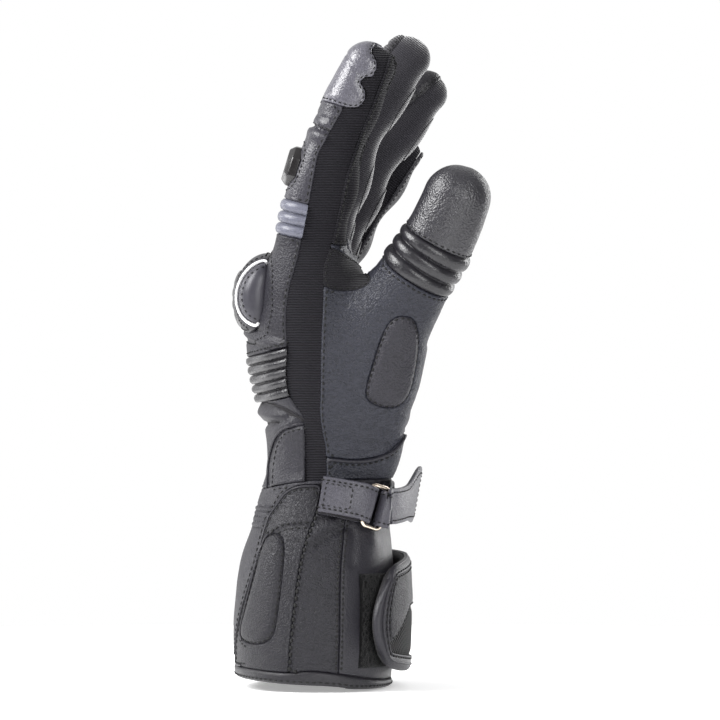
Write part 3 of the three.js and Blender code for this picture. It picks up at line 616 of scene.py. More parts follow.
tube_at, tube_away = {}, []
for name, tube in tubes.items():
    place = np.tile([[-99.0], [0.0], [0.0]], len(skin_points))
    close = near_tube(tube, skin_points, 0)
    place[:, close] = tube.place(skin_points[close])
    tube_at[name] = place
    tube_away.append(np.abs(tube_field(name, skin_points)))
tube_away = np.array(tube_away)
own = {}
for i, name in enumerate(tubes):
    others = np.delete(tube_away, i, axis=0).min(0)
    own[name] = (others - tube_away[i]) / 1.4

CORE = 32.0


def fanned(x, z):
    """Height along the back's ribs, which climb to the front, the lower ones a little less."""
    return z - (x + 22) * (0.27 - 0.08 * np.clip((154 - z) / 23, 0, 1))


FINGER_START, RIBS_TOP, CAP_START = 0.19, 0.325, 0.69
FINGER_SEAMS = {
    # share of length, then the back seam and the palm-side seam as shares of the half depth
    "index": np.array(
        [(0, -0.36, 0.74), (0.6, -0.34, 0.8), (0.72, 0.05, 0.82), (0.9, 0.12, 0.8), (1, 0.2, 0.82)]
    ),
    "middle": np.array([(0, -0.6, 0.97), (0.6, -0.6, 0.97), (0.75, -0.65, 0.97), (1, -0.7, 0.97)]),
    "ring": np.array(
        [(0, -0.7, 0.97), (0.68, -0.7, 0.97), (0.8, -0.3, 0.95), (0.9, -0.05, 0.95), (1, 0.1, 0.95)]
    ),
    "little": np.array(
        [(0, -0.36, 0.74), (0.6, -0.34, 0.76), (0.72, -0.1, 0.76), (0.9, 0.0, 0.74), (1, 0.1, 0.74)]
    ),
}
between = (np.abs(y) < CORE) & (z > 170)
dorsal_line = np.where(between, x + 3.5, seen["back_seam"])
palm_line = np.where(between, x + 3.5, seen["palm_seam"])
in_fingers = np.full(len(x), -99.0)
panels = {}
for name in FINGERS:
    run, u, v = tube_at[name]
    tube = tubes[name]
    half, _ = tube.halves(np.clip(run, 0, tube.long))
    share = run / tube.long
    zone = both(run - FINGER_START * tube.long, own[name])
    in_fingers = np.maximum(in_fingers, zone)
    seams = FINGER_SEAMS[name]
    back_edge = u - np.interp(share, seams[:, 0], seams[:, 1]) * half
    front_edge = u - np.interp(share, seams[:, 0], seams[:, 2]) * half
    cap_from = run - CAP_START * tube.long
    if name == "index":
        outer = v < 0
        cap_from = np.where(outer, np.minimum(-seen["cap_edge"], run - 60), cap_from)
        front_edge = np.where(outer, seen["palm_seam"], front_edge)
        strip = np.where(outer & (cap_from < 0), seen["back_seam"], back_edge)
        back_edge = np.where(
            outer & (run > 60), np.where(cap_from > 0, -cap_from, np.maximum(strip, -4)), strip
        )
    panels[f"{name}_ribs"] = both(zone, -back_edge, RIBS_TOP * tube.long - run)
    panels[f"{name}_back"] = both(zone, -back_edge, run - RIBS_TOP * tube.long, -cap_from)
    panels[f"{name}_cap"] = both(zone, -back_edge, cap_from)
    panels[f"{name}_wall"] = both(zone, back_edge, -front_edge, *([-cap_from] if name == "index" else []))
    panels[f"{name}_front"] = both(zone, front_edge)

thumb_run = tube_at["thumb"][0]
THUMB_RIBS = (0.655 * tubes["thumb"].long, 0.775 * tubes["thumb"].long)
slanted = fanned(x, level)
BACK_RIBS = (131.0, 153.5)
THUMB_BALL = -19.6
above_wrist = both(-in_fingers, seen["wrist"])
cuff = both(-seen["wrist"], seen["hem_top"])
on_thumb = both(thumb_run - THUMB_RIBS[0], x - 30, own["thumb"])
palm = both(above_wrist, palm_line, -on_thumb, -areas["web"], -areas["palm_pad"], seen["heel"])
panels |= {
    "wrist_back": both(above_wrist, -dorsal_line, BACK_RIBS[0] - slanted),
    "back_ribs": both(above_wrist, -dorsal_line, slanted - BACK_RIBS[0], BACK_RIBS[1] - slanted),
    "back_panel": both(above_wrist, -dorsal_line, slanted - BACK_RIBS[1]),
    "gusset_thumb_side": both(above_wrist, dorsal_line, -palm_line, -y),
    "gusset_little_side": both(above_wrist, dorsal_line, -palm_line, y),
    "palm_panel": both(palm, y - THUMB_BALL),
    "thumb_panel": both(palm, THUMB_BALL - y),
    "wrist_front": both(above_wrist, palm_line, -seen["heel"]),
    "thumb_web": both(above_wrist, areas["web"], palm_line, -on_thumb),
    "palm_pad": both(areas["palm_pad"], -on_thumb),
    "thumb_ribs": both(on_thumb, THUMB_RIBS[1] - thumb_run),
    "thumb_cap": both(on_thumb, thumb_run - THUMB_RIBS[1]),
    "cuff_back": both(cuff, -seen["piped"]),
    "cuff_side": both(cuff, seen["piped"], -seen["zigzag"], -areas["cuff_pad"], -y),
    "cuff_mid": both(cuff, seen["zigzag"], -seen["double"], -y),
    "cuff_outer": both(cuff, seen["piped"], -seen["double"], y),
    "cuff_palm": both(cuff, seen["double"]),
    "cuff_pad": both(cuff, areas["cuff_pad"]),
}
print(len(panels), "panels")

# %% [markdown]
# ## Shader sums
# Procedural materials are mostly arithmetic. One small class lets a socket be added, multiplied or compared
# like a number, and each operation quietly becomes a Math node, so a material reads like a formula.


# %% Sockets that can be reckoned with
class Sum:
    """A shader socket that works in formulas."""

    def __init__(self, tree, socket):
        self.tree, self.socket = tree, socket

    def math(self, operation, *others):
        node = self.tree.nodes.new("ShaderNodeMath")
        node.operation = operation
        for slot, value in zip(node.inputs, (self, *others)):
            if isinstance(value, Sum):
                self.tree.links.new(value.socket, slot)
            else:
                slot.default_value = value
        return Sum(self.tree, node.outputs[0])

    def __add__(self, other):
        return self.math("ADD", other)

    def __sub__(self, other):
        return self.math("SUBTRACT", other)

    def __rsub__(self, other):
        return self.math("MULTIPLY", -1.0).math("ADD", other)

    def __mul__(self, other):
        return self.math("MULTIPLY", other)

    __radd__, __rmul__ = __add__, __mul__

    def between(self, low, high):
        """0 below low, 1 above high, and a smooth step between."""
        node = self.tree.nodes.new("ShaderNodeMapRange")
        node.interpolation_type = "SMOOTHSTEP"
        node.clamp = True
        self.tree.links.new(self.socket, node.inputs["Value"])
        node.inputs["From Min"].default_value = low
        node.inputs["From Max"].default_value = high
        return Sum(self.tree, node.outputs["Result"])


class Finish:
    """A material being built: nodes are made by kind, and the shader's sockets are set by name."""

    def __init__(self, name, **constants):
        self.material = bpy.data.materials.new(name)
        self.material.use_nodes = True
        self.tree = self.material.node_tree
        self.shader = self.tree.nodes["Principled BSDF"]
        for socket, value in constants.items():
            self.shader.inputs[socket.replace("_", " ")].default_value = value
        place = self.node("ShaderNodeTexCoord", "Object")
        self.place = self.node("ShaderNodeVectorMath", 0, [place, (1000, 1000, 1000)], operation="MULTIPLY")

    def node(self, kind, output, inputs=(), **settings):
        """Any node: settings first, then inputs by number or name, and the output asked for."""
        node = self.tree.nodes.new(kind)
        for key, value in settings.items():
            setattr(node, key, value)
        pairs = inputs.items() if isinstance(inputs, dict) else enumerate(inputs)
        for key, value in pairs:
            if isinstance(value, Sum):
                self.tree.links.new(value.socket, node.inputs[key])
            elif value is not None:
                node.inputs[key].default_value = value
        return Sum(self.tree, node.outputs[output])

    def noise(self, size, detail=2.0, rough=0.5, place=None):
        """Noise with lumps of a size in millimetres, from 0 to 1."""
        inputs = {"Vector": place or self.place, "Scale": 1 / size, "Detail": detail, "Roughness": rough}
        return self.node("ShaderNodeTexNoise", "Fac", inputs)

    def field(self, name):
        return self.node("ShaderNodeAttribute", "Fac", attribute_name=name)

    def mix(self, share, low, high):
        """A colour between two, by a share."""
        inputs = {0: share, 6: low, 7: high}
        return self.node("ShaderNodeMix", 2, inputs, data_type="RGBA")

    def bump(self, *reliefs):
        """Raises the surface by heights in millimetres, coarsest first."""
        normal = None
        for height, strength in reliefs:
            inputs = {"Strength": strength, "Distance": MM, "Height": height}
            if normal is not None:
                inputs["Normal"] = normal
            normal = self.node("ShaderNodeBump", "Normal", inputs)
        self.join(normal, "Normal")

    def join(self, value, socket):
        self.tree.links.new(value.socket, self.shader.inputs[socket])


def shade(red, green, blue):
    """A colour given as a photograph's numbers from 0 to 255, made linear for the shader."""
    linear = [
        (v / 255 / 12.92) if v <= 10 else ((v / 255 + 0.055) / 1.055) ** 2.4 for v in (red, green, blue)
    ]
    return (*linear, 1.0)


print("mid grey is", round(shade(128, 128, 128)[0], 3), "to the shader")

# %% [markdown]
# ## Leather
# Goatskin has a pebbled grain about a millimetre across, fine creases between the pebbles, and a soft
# gloss that is stronger where the leather has been stretched or rubbed. The grain is a Voronoi pattern bent
# by noise, so that no two pebbles match; it drives the bump, and a little of the colour and roughness. The
# crease lines also darken the colour, as painted shade, and a band along each panel's edge is lighter,
# partly as wear and partly as a painted highlight.


# %% Leather finish
def lighter(colour, times, plus):
    """The same colour made lighter, where it is rubbed or raised; on leather this end also carries the
    painted highlight along panel edges.
    """
    return (*(min(1.0, c * times + plus) for c in colour[:3]), 1.0)


def leather(name, colour, rough=0.5, grain=1.0, creases=0.35, worn=0.08, coat=0.0, relief=0.16, shine=0.36):
    """Leather by its grain in millimetres, how creased it is, how much its edges are lightened, and its
    relief and gloss. Creases darken the colour as painted shade; the lighter edges are partly wear and partly
    painted highlight.
    """
    f = Finish(name, Specular_IOR_Level=shine, Coat_Weight=coat, Coat_Roughness=0.25)
    bend = f.node("ShaderNodeTexNoise", "Color", {"Vector": f.place, "Scale": 0.5, "Detail": 2.0})
    bent = f.node("ShaderNodeVectorMath", 0, [bend, (0.8, 0.8, 0.8), f.place], operation="MULTIPLY_ADD")
    cells = f.node(
        "ShaderNodeTexVoronoi", "Distance", {"Vector": bent, "Scale": 1 / (0.85 * grain)}, feature="SMOOTH_F1"
    )
    pebble = 1 - cells.between(0.1, 0.75)
    soft = f.noise(5.5, 3.0, 0.6)
    lines = f.node("ShaderNodeVectorMath", 0, [bent, (1 / 4.5, 1 / 4.5, 1 / 1.3)], operation="MULTIPLY")
    fold = f.node(
        "ShaderNodeTexNoise", "Fac", {"Vector": lines, "Scale": 1.0, "Detail": 3.0, "Roughness": 0.55}
    )
    fold = (fold - 0.5).math("ABSOLUTE").between(0.0, 0.05)
    fine = f.noise(0.45, 2.0, 0.6)
    # The band within 2.2 mm of a panel's edge is lightened: partly wear, partly a painted highlight.
    rim = 1 - f.field("edge").between(0.0, 2.2)
    # (fold - 1) darkens the colour along the crease lines: painted shade in the creases.
    tone = pebble * 0.45 + soft * 0.3 + rim * worn + (fold - 1) * 0.6 * creases + 0.2
    f.join(f.mix(tone, colour, lighter(colour, 2.1, 0.004)), "Base Color")
    f.join(soft * 0.16 + (rough - 0.1) + fine * 0.06 - pebble * 0.05, "Roughness")
    f.bump((fold, 0.38 * creases), (pebble, relief), (fine, 0.06))
    return f.material


finishes = {
    "leather": leather("goat_leather", shade(24, 23, 29), 0.5, relief=0.2),
    "finger_back": leather(
        "finger_back_leather", shade(38, 37, 43), 0.4, creases=0.2, relief=0.12, shine=0.5
    ),
    "rib_leather": leather("polished_rib_leather", shade(22, 21, 25), 0.32, relief=0.08, shine=0.6),
    "cap_leather": leather("thumb_cap_leather", shade(28, 27, 32), 0.36, 1.0, 0.5, relief=0.24, shine=0.75),
    "cuff_leather": leather("cuff_leather", shade(16, 15, 21), 0.5, 0.85, 0.9, relief=0.26),
    "dark_leather": leather("smooth_dark_leather", shade(26, 25, 30), 0.42, 0.7, 0.3),
    "tip_leather": leather(
        "polished_tip_leather", shade(70, 69, 76), 0.32, 1.0, 0.2, 0.1, coat=0.15, relief=0.14, shine=0.7
    ),
    "palm_leather": leather("palm_leather", shade(29, 30, 38), 0.46, 0.95, 0.8, relief=0.34),
    "finger_leather": leather("finger_leather", shade(20, 19, 22), 0.4, 0.8, 0.3),
    "fingertip_leather": leather("fingertip_leather", shade(22, 21, 25), 0.4, 1.0, 0.5, relief=0.2),
    "pad_leather": leather("pad_leather", shade(30, 29, 35), 0.46, 0.95, 0.6, relief=0.34),
    "grey_leather": leather("grey_leather", shade(78, 79, 89), 0.36, 0.7, 0.1, relief=0.06, shine=0.5),
    # The strap leather is lighter than the cuff's: painted light, where the strap's face turns up to the
    # bright side.
    "strap_leather": leather("strap_leather", shade(50, 49, 56), 0.42, 0.8, 0.4, relief=0.14, shine=0.5),
    "hem_leather": leather("hem_binding_leather", shade(22, 21, 25), 0.42, 0.7, 0.3),
}
print(len(finishes), "leathers")

# %% [markdown]
# ## Stretch cloth, threads and the rest
# The stretch cloth is knitted in fine ribs that run across it, about a millimetre apart. The skin
# carries the distance along the glove as a field, so the ribs can follow each finger's bend. The rib is a
# sine of that distance, broken by small loops.


# %% Cloth and thread finishes
def stretch_cloth(name, colour, pitch, sheen, rib_share=0.7):
    """Ribbed stretch cloth; sheen is the light in its fuzz, rib_share how clearly the ribs show."""
    f = Finish(name, Specular_IOR_Level=0.25, Sheen_Weight=sheen, Sheen_Roughness=0.4)
    run = f.field("along") + f.noise(6.0) * 0.35
    rib = (run * (math.tau / pitch)).math("SINE") * 0.5 + 0.5
    loops = f.noise(0.5, 1.0)
    wear = f.noise(9.0, 3.0)
    tone = rib * rib_share + loops * 0.25 + wear * 0.2
    f.join(f.mix(tone, colour, lighter(colour, 4, 0.008)), "Base Color")
    f.join(0.92 - rib * 0.1, "Roughness")
    f.bump((rib, 0.8 * rib_share), (loops, 0.25))
    return f.material


def plain_finish(name, colour, rough, metallic=0.0, grain=0.6, coat=0.0):
    """A smooth finish with a fine grain, slight smears in its gloss, and lighter rubbed places."""
    f = Finish(name, Metallic=metallic, Coat_Weight=coat, Coat_Roughness=0.12)
    smear, fine = f.noise(4.0, 3.0), f.noise(grain, 2.0)
    f.join(f.mix(smear * 0.6 + fine * 0.2, colour, lighter(colour, 1.4, 0.003)), "Base Color")
    f.join(smear * 0.2 + (rough - 0.1), "Roughness")
    f.bump((fine, 0.04))
    return f.material


def woven(name, colour, pitch, rough=0.85, depth=0.5):
    """A woven face: threads over and under each other, from two crossing waves."""
    f = Finish(name, Specular_IOR_Level=0.2, Sheen_Weight=0.05, Sheen_Roughness=0.5)
    parts = [f.node("ShaderNodeSeparateXYZ", i, [f.place]) for i in range(3)]
    around = parts[0] + parts[1] * 0.6
    waves = (around * (math.tau / pitch)).math("SINE") * (parts[2] * (math.tau / pitch)).math("SINE")
    thread = waves * 0.5 + 0.5
    fine = f.noise(0.4, 2.0)
    f.join(f.mix(thread * 0.8 + fine * 0.2, colour, lighter(colour, 3.5, 0.012)), "Base Color")
    f.join(rough - fine * 0.1, "Roughness")
    f.bump((thread, depth), (fine, 0.15))
    return f.material


def hook_finish(name, colour):
    """The face of a hook or loop tape: a fuzz of tiny ends."""
    f = Finish(name, Sheen_Weight=0.1, Sheen_Roughness=0.4, Specular_IOR_Level=0.12)
    ends, clumps = f.noise(0.35, 3.0, 0.7), f.noise(2.2, 3.0)
    f.join(f.mix(ends * clumps, colour, lighter(colour, 3, 0.006)), "Base Color")
    f.join(0.9 - ends * 0.1, "Roughness")
    f.bump((clumps, 0.5), (ends, 0.9))
    return f.material


finishes |= {
    "stretch": stretch_cloth("ribbed_stretch_cloth", shade(6, 5, 9), 1.15, 0.05, 0.85),
    "finger_cloth": stretch_cloth("finger_side_cloth", shade(26, 25, 29), 0.9, 0.8, 0.4),
    "tip_cloth": stretch_cloth("fingertip_cloth", shade(24, 23, 26), 1.15, 0.5, 0.6),
    "web": stretch_cloth("thumb_web_cloth", shade(15, 14, 17), 0.8, 0.1),
    "mesh": woven("flap_mesh", shade(3, 3, 4), 1.9, 0.8, 0.9),
    "lining": woven("knit_lining", shade(24, 23, 25), 1.1, 0.95, 0.25),
    "thread": plain_finish("sewing_thread", shade(1, 1, 1), 0.75, grain=0.25),
    "plastic": plain_finish("slider_plastic", shade(26, 24, 25), 0.3, coat=0.3),
    "dome": plain_finish("guard_satin_plastic", shade(52, 51, 58), 0.4, 0.1),
    "plate": plain_finish("guard_plate_plastic", shade(34, 33, 37), 0.3, coat=0.3),
    "silver": plain_finish("silver_piping", shade(226, 225, 228), 0.3, 0.3),
    "metal": plain_finish("ring_metal", shade(214, 200, 184), 0.2, 1.0),
    "hook": hook_finish("hook_tape_fuzz", shade(3, 3, 4)),
}
print(len(finishes), "finishes")

# %% [markdown]
# ## Relief
# Leather that has been worn bulges between its seams, dips into them, and creases across them. Each panel
# gets a height in millimetres at every point: a rolled edge from its distance to the seam, folds along
# short lines, ribs from waves, and a slow random swell from a noise that always comes out the same.


# %% Relief helpers
def swell(p, size, seed=0):
    """Smooth random heights from -1 to 1, with lumps of a size or three sizes in millimetres."""
    q = p / np.asarray(size, float) + seed * 17.37
    base = np.floor(q).astype(np.int64)
    t = q - base
    t = t * t * (3 - 2 * t)
    total = np.zeros(len(p))
    for corner in CORNERS:
        n = base + corner
        mixed = (n[:, 0] * 73856093) ^ (n[:, 1] * 19349663) ^ (n[:, 2] * 83492791) ^ (seed * 2654435761)
        mixed = (mixed ^ (mixed >> 13)) * 1274126177 & 0x7FFFFFFF
        value = (mixed % 65521) / 32760.5 - 1
        total += value * np.prod(np.where(corner, t, 1 - t), axis=1)
    return total


def creases(p, size, depth, seed=0, wide=0.3):
    """Fine furrows where a noise passes through zero."""
    return depth * (np.clip(np.abs(swell(p, size, seed)) / wide, 0, 1) ** 0.7 - 1)


ROLL = [(0, -0.75), (0.3, -0.1), (0.8, 0.2), (1.6, -0.05), (2.6, 0.1), (5, 0)]
TUCK = [(0, -0.5), (1.5, -0.55), (3, -0.6)]


def profile(rows, value):
    rows = np.asarray(rows, float)
    return np.interp(value, rows[:, 0], rows[:, 1])


def bell(value, middle, width):
    """1 at the middle, falling away on both sides."""
    return np.exp(-(((value - middle) / width) ** 2))


def fold(p, line, depth, width, side=0):
    """A furrow or a ridge along a line seen from the thumb side; side -1 or 1 keeps it to that side."""
    away, _ = nearest(rounded(line), p[:, 0], p[:, 2])
    out = depth * bell(away, 0, width)
    return out * smooth_step(p[:, 1] * side, -2, 6) if side else out


def folds(p, table, side=0):
    """All the folds of a table, added up."""
    return sum(fold(p, line, depth, width, side) for line, depth, width in table)


RIB_SHAPE = [(0, -0.6), (0.04, -0.55), (0.1, -0.05), (0.2, 0.25), (0.34, 0.38), (0.5, 0.42)]


def ribs(phase, count, height):
    """Cushioned ribs across a band, phase running from 0 to 1, with narrow gutters between."""
    part = np.abs(phase * count - np.round(phase * count))
    rise = profile(RIB_SHAPE, part) * height
    return np.where((phase > -0.02) & (phase < 1.02), rise, 0)


def rib_lines(count):
    """Where a ribbed panel's faces are split, so that each gutter has points along its whole length."""
    return [(i + side) / count for i in range(count + 1) for side in (-0.1, -0.04, 0, 0.04, 0.1)]


def leather_lift(patch, seed=0, swelling=0.35, roll=1.0):
    """The height every leather panel shares: rolled edges and a slow swell."""
    p = patch.at
    return profile(ROLL, patch["edge"]) * roll + swelling * swell(p, 16, seed) + 0.07 * swell(p, 6, seed + 5)


def no_lift(patch):
    """A sheet without relief."""
    return np.zeros(len(patch.rows))


print("an edge rolls from", ROLL[0][1], "to", ROLL[2][1], "mm")

# %% [markdown]
# ## From patch to piece
# A patch is pushed out by its relief, turned into a mesh in metres and given a wall inwards, with lining
# cloth on its inner side. Points closer than an eighth of a millimetre are merged first, because a sliver of
# a face would shade badly and spoil the wall.


# %% Pieces from patches
pieces = {}


def own_mesh(obj):
    """Replaces an object's mesh by its evaluated one, and drops its modifiers."""
    graph = bpy.context.evaluated_depsgraph_get()
    mesh = bpy.data.meshes.new_from_object(
        obj.evaluated_get(graph), preserve_all_data_layers=True, depsgraph=graph
    )
    obj.modifiers.clear()
    obj.data = mesh
    mesh.name = obj.name


def mesh_piece(name, points, faces, materials, fields=None):
    """An object from points in millimetres, with its materials and its numbers carried by point."""
    mesh = bpy.data.meshes.new(name)
    mesh.from_pydata((np.asarray(points) * MM).tolist(), [], [list(map(int, f)) for f in faces])
    for field_name, values in (fields or {}).items():
        field = mesh.attributes.new(field_name, "FLOAT", "POINT")
        field.data.foreach_set("value", np.asarray(values, np.float32))
    for material in materials:
        mesh.materials.append(material)
    return add_object(name, mesh)


def shade_smooth(mesh):
    mesh.polygons.foreach_set("use_smooth", [True] * len(mesh.polygons))


def tidy_mesh(obj, merge=0.00012, turn_out=False):
    """Merges points closer than a distance in metres, and with turn_out faces every side outwards."""
    bm = bmesh.new()
    bm.from_mesh(obj.data)
    bmesh.ops.remove_doubles(bm, verts=bm.verts, dist=merge)
    bmesh.ops.dissolve_degenerate(bm, edges=bm.edges, dist=1e-6)
    if turn_out:
        bmesh.ops.recalc_face_normals(bm, faces=bm.faces)
    bm.to_mesh(obj.data)
    bm.free()
    shade_smooth(obj.data)


def ring_faces(count, rings):
    """The faces of a closed tube: rings of count points each, with a face over both ends."""
    faces = []
    for i in range(rings - 1):
        for k in range(count):
            a, b = i * count + k, i * count + (k + 1) % count
            faces.append([a, b, b + count, a + count])
    return faces + [list(range(count))[::-1], list(range((rings - 1) * count, rings * count))]


def wall(obj, thickness, lining=None):
    """Gives a sheet its thickness, inwards, with the second material on the inner side."""
    solid = obj.modifiers.new("wall", "SOLIDIFY")
    solid.thickness = thickness * MM
    solid.offset = -1
    solid.use_rim = True
    if lining is not None:
        obj.data.materials.append(lining)
        solid.material_offset = 1
    own_mesh(obj)
    obj.data.set_sharp_from_angle(angle=math.radians(60))


skin_rows = skin_table(skin_points, skin_normals)
dressed = {}


def dress(
    name, value, lift, finish, along=None, thickness=1.3, replaces=None, skin=None, phase=None, lines=()
):
    """Cuts a panel from the skin, raises it, and keeps both the patch and the piece.

    phase and lines split its faces where a field of the place takes certain values, for a crisp relief.
    """
    rows, quads = skin or (skin_rows, skin_quads)
    patch = Patch(rows.copy(), quads)
    patch["edge"] = value if skin else even(value)
    patch["along"] = patch["z"] if along is None else along
    patch = patch.cut("edge").cut("edge", 0.35, both=True).cut("edge", 0.9, both=True).used()
    if phase is not None:
        patch["value"] = phase(patch.at)
        for level in lines:
            patch = patch.cut("value", level, both=True)
        patch = patch.used()
    height = lift(patch)
    patch.rows[:, :3] += patch.rows[:, 3:6] * height[:, None]
    faces = [*patch.quads.tolist(), *patch.loose]
    carried = {"edge": patch["edge"], "along": patch["along"]}
    obj = mesh_piece(f"{name}_dressed", patch.at, faces, [finishes[finish]], carried)
    tidy_mesh(obj)
    wall(obj, thickness, finishes["lining"])
    dressed[name] = patch
    pieces[name] = (obj, (name,) if replaces is None else replaces)
    return patch


print("wall and lining ready")

# %% [markdown]
# ## The hand's panels
# The palm and the ball of the thumb are one soft swell of leather with fine creases near the heel. The
# wrist has deep folds where it bends back, and above it five padded ribs lie across the back of the hand.

# %% Palm, wrist and back


def tilted(p, slope):
    """Places sheared so that creases run a little up or down hill."""
    return np.c_[p[:, 0], p[:, 1], p[:, 2] - slope * p[:, 0]]


def palm_lift(patch):
    p = patch.at
    heel = smooth_step(-p[:, 2], -140, -122) * smooth_step(p[:, 0], 0, 12)
    fine = creases(tilted(p, -0.35), (17, 17, 5.5), 0.6, 3, 0.8)
    fine += creases(tilted(p, -0.3), (12, 12, 4.5), 0.35, 8, 0.8)
    web = smooth_step(p[:, 2], 150, 185)
    slanted_fine = creases(np.c_[p[:, 0] + p[:, 2], p[:, 1], p[:, 0] - p[:, 2]], (9, 9, 3), 0.14, 6)
    return leather_lift(patch, 1, 0.3) + heel * fine + web * slanted_fine


def seen_pad(p):
    """Distance inside the pad of the wrist."""
    return beside(SEAMS["wrist_pad"], p[:, 0], p[:, 2])


WRIST_FOLDS = [
    # places (x, z) along each fold where the wrist bends back, its height and its half width
    (SEAMS["wrist_pad"], -1.0, 0.9),
    ([(-34, 131), (-24, 129.5), (-15, 125.5), (-6, 121)], -2.4, 1.7),
    ([(-34, 126.5), (-24, 125), (-14, 121)], 1.3, 1.8),
    ([(-30, 119.5), (-22, 120.5), (-15, 122.5)], -2.2, 1.5),
]


def wrist_back_lift(patch):
    p = patch.at
    pad = seen_pad(p)
    lift = leather_lift(patch, 2, 0.5) + 0.9 * smooth_step(pad, -0.5, 3) * smooth_step(-p[:, 2], -123, -118)
    slope = np.c_[p[:, 0] + p[:, 2], p[:, 1], p[:, 2] - p[:, 0]]
    return lift + folds(p, WRIST_FOLDS) + creases(slope, (11, 16, 3), 0.3, 4) * smooth_step(pad, 0, 3)


def slant(p):
    """Height along the back's ribs."""
    return fanned(p[:, 0], p[:, 2])


def back_phase(p):
    """0 at the lowest of the back's ribs and 1 at the highest; the ribs fan out a little to the side."""
    return (slant(p) + 0.5 * swell(p, 14, 9) - BACK_RIBS[0]) / (BACK_RIBS[1] - BACK_RIBS[0])


def back_ribs_lift(patch):
    p = patch.at
    phase = back_phase(p)
    return ribs(phase, 5, 2.0) + leather_lift(patch, 3, 0.25, 0.5) + 0.3


GUARD_FOLDS = [
    # places (x, z) along each fold below the knuckle guard, its height and its half width
    ([(-38, 161.5), (-32, 157.5), (-24, 153.5), (-15, 152.5)], -1.1, 1.1),
    ([(-38, 165), (-33, 161), (-26, 157.5), (-15, 156)], 0.9, 1.4),
    ([(-37, 168.5), (-31, 164.5), (-25, 161.5), (-18, 160)], -0.8, 1.0),
]


def back_panel_lift(patch):
    p = patch.at
    low = smooth_step(-p[:, 2], -172, -156)
    lift = leather_lift(patch, 4, 0.3) + 0.4 * low * creases(tilted(p, -0.6), (14, 14, 3.2), 0.6, 5)
    return lift + folds(p, GUARD_FOLDS)


def tucked(patch):
    """Cloth lies lower than the leather beside it."""
    return profile(TUCK, patch["edge"]) + 0.12 * swell(patch.at, 9, 3)


dress("palm_panel", panels["palm_panel"], palm_lift, "palm_leather")
dress("thumb_panel", panels["thumb_panel"], palm_lift, "palm_leather")
dress("wrist_front", panels["wrist_front"], lambda patch: leather_lift(patch, 6, 0.3), "palm_leather")
dress("wrist_back", panels["wrist_back"], wrist_back_lift, "leather")
dress("back_ribs", panels["back_ribs"], back_ribs_lift, "rib_leather", phase=back_phase, lines=rib_lines(5))
dress("back_panel", panels["back_panel"], back_panel_lift, "leather")
dress("gusset_thumb_side", panels["gusset_thumb_side"], tucked, "stretch")
dress("gusset_little_side", panels["gusset_little_side"], tucked, "stretch")
dress("thumb_web", panels["thumb_web"], lambda patch: tucked(patch) + 0.3, "web")
print("hand:", len(pieces), "panels")

# %% [markdown]
# ## Padded places
# A stuffed pad is sewn in flat round its outline and rises quickly to a nearly level top. Both pads rise
# from their own distance to the seam, so the seam stays sunk all the way round.

# %% Pads
PAD_RISE = [(0, -0.45), (0.3, -0.2), (1.0, 0.55), (2.4, 1.3), (5, 1.8), (9, 2.0)]


def pad_lift(patch):
    return profile(PAD_RISE, patch["edge"]) + 0.15 * swell(patch.at, 14, 2)


dress("palm_pad", panels["palm_pad"], pad_lift, "pad_leather")
dress("cuff_pad", panels["cuff_pad"], pad_lift, "cuff_leather")
print("pads rise", PAD_RISE[-1][1], "mm")

# %% [markdown]
# ## The thumb
# Three cushioned ribs let the thumb bend, and a plain cap of grained leather covers its end.

# %% Thumb


def thumb_phase(p):
    return (tubes["thumb"].place(p)[0] - THUMB_RIBS[0]) / (THUMB_RIBS[1] - THUMB_RIBS[0])


def thumb_rib_lift(patch):
    phase = thumb_phase(patch.at)
    return ribs(phase, 3, 2.3) + 0.15 * swell(patch.at, 12, 4) + 0.3


dress(
    "thumb_ribs", panels["thumb_ribs"], thumb_rib_lift, "rib_leather", phase=thumb_phase, lines=rib_lines(3)
)
dress("thumb_cap", panels["thumb_cap"], lambda patch: leather_lift(patch, 7, 0.25), "cap_leather")
print("thumb ribs from", [round(v) for v in THUMB_RIBS], "mm up the thumb")

# %% [markdown]
# ## The fingers
# Each finger has grey ribs at its root, a back panel with a slider, a cap, a palm-side panel whose rubbed
# edge stands up, and cloth between. On the back panel, a deep fold lies just below the cap.

# %% Fingers


def cap_seam(tube, p):
    """Distance past the seam that arches over a finger's cap."""
    run, u, v = tube.place(p)
    return run - 0.9 * tube.long + 0.02 * v**2 + 0.25 * (u + 6)


def finger_lift(name, kind):
    """The relief of one kind of panel on one finger."""
    tube = tubes[name]

    def lift(patch):
        run = tube.place(patch.at)[0]
        share = run / tube.long
        base = leather_lift(patch, len(kind) + len(name), 0.2)
        if kind == "ribs":
            phase = (share - FINGER_START) / (RIBS_TOP - FINGER_START)
            return ribs(phase, 3, 2.0) + 0.4
        if kind == "back":
            bend = 0.7 * bell(share, 0.59, 0.02) - 1.8 * bell(share, 0.615, 0.009) - 0.5 * bell(
                share, 0.66, 0.006
            )
            return base + bend + creases(patch.at, (12, 12, 4), 0.25, 7) * smooth_step(share, 0.5, 0.6)
        if kind == "cap":
            puffed = 0.6 * smooth_step(patch["edge"], 0.8, 3) - 0.7 * bell(cap_seam(tube, patch.at), 0, 0.6)
            return base + puffed + creases(patch.at, 12, 0.1, 4)
        if kind == "front":
            rim = profile([(0, -0.2), (0.35, 0.6), (1.0, 0.8), (2, 0.3), (4, 0)], patch["edge"])
            return rim * (name in ("index", "little")) + 0.3 * swell(patch.at, (12, 12, 18), 3)
        return tucked(patch)

    return lift


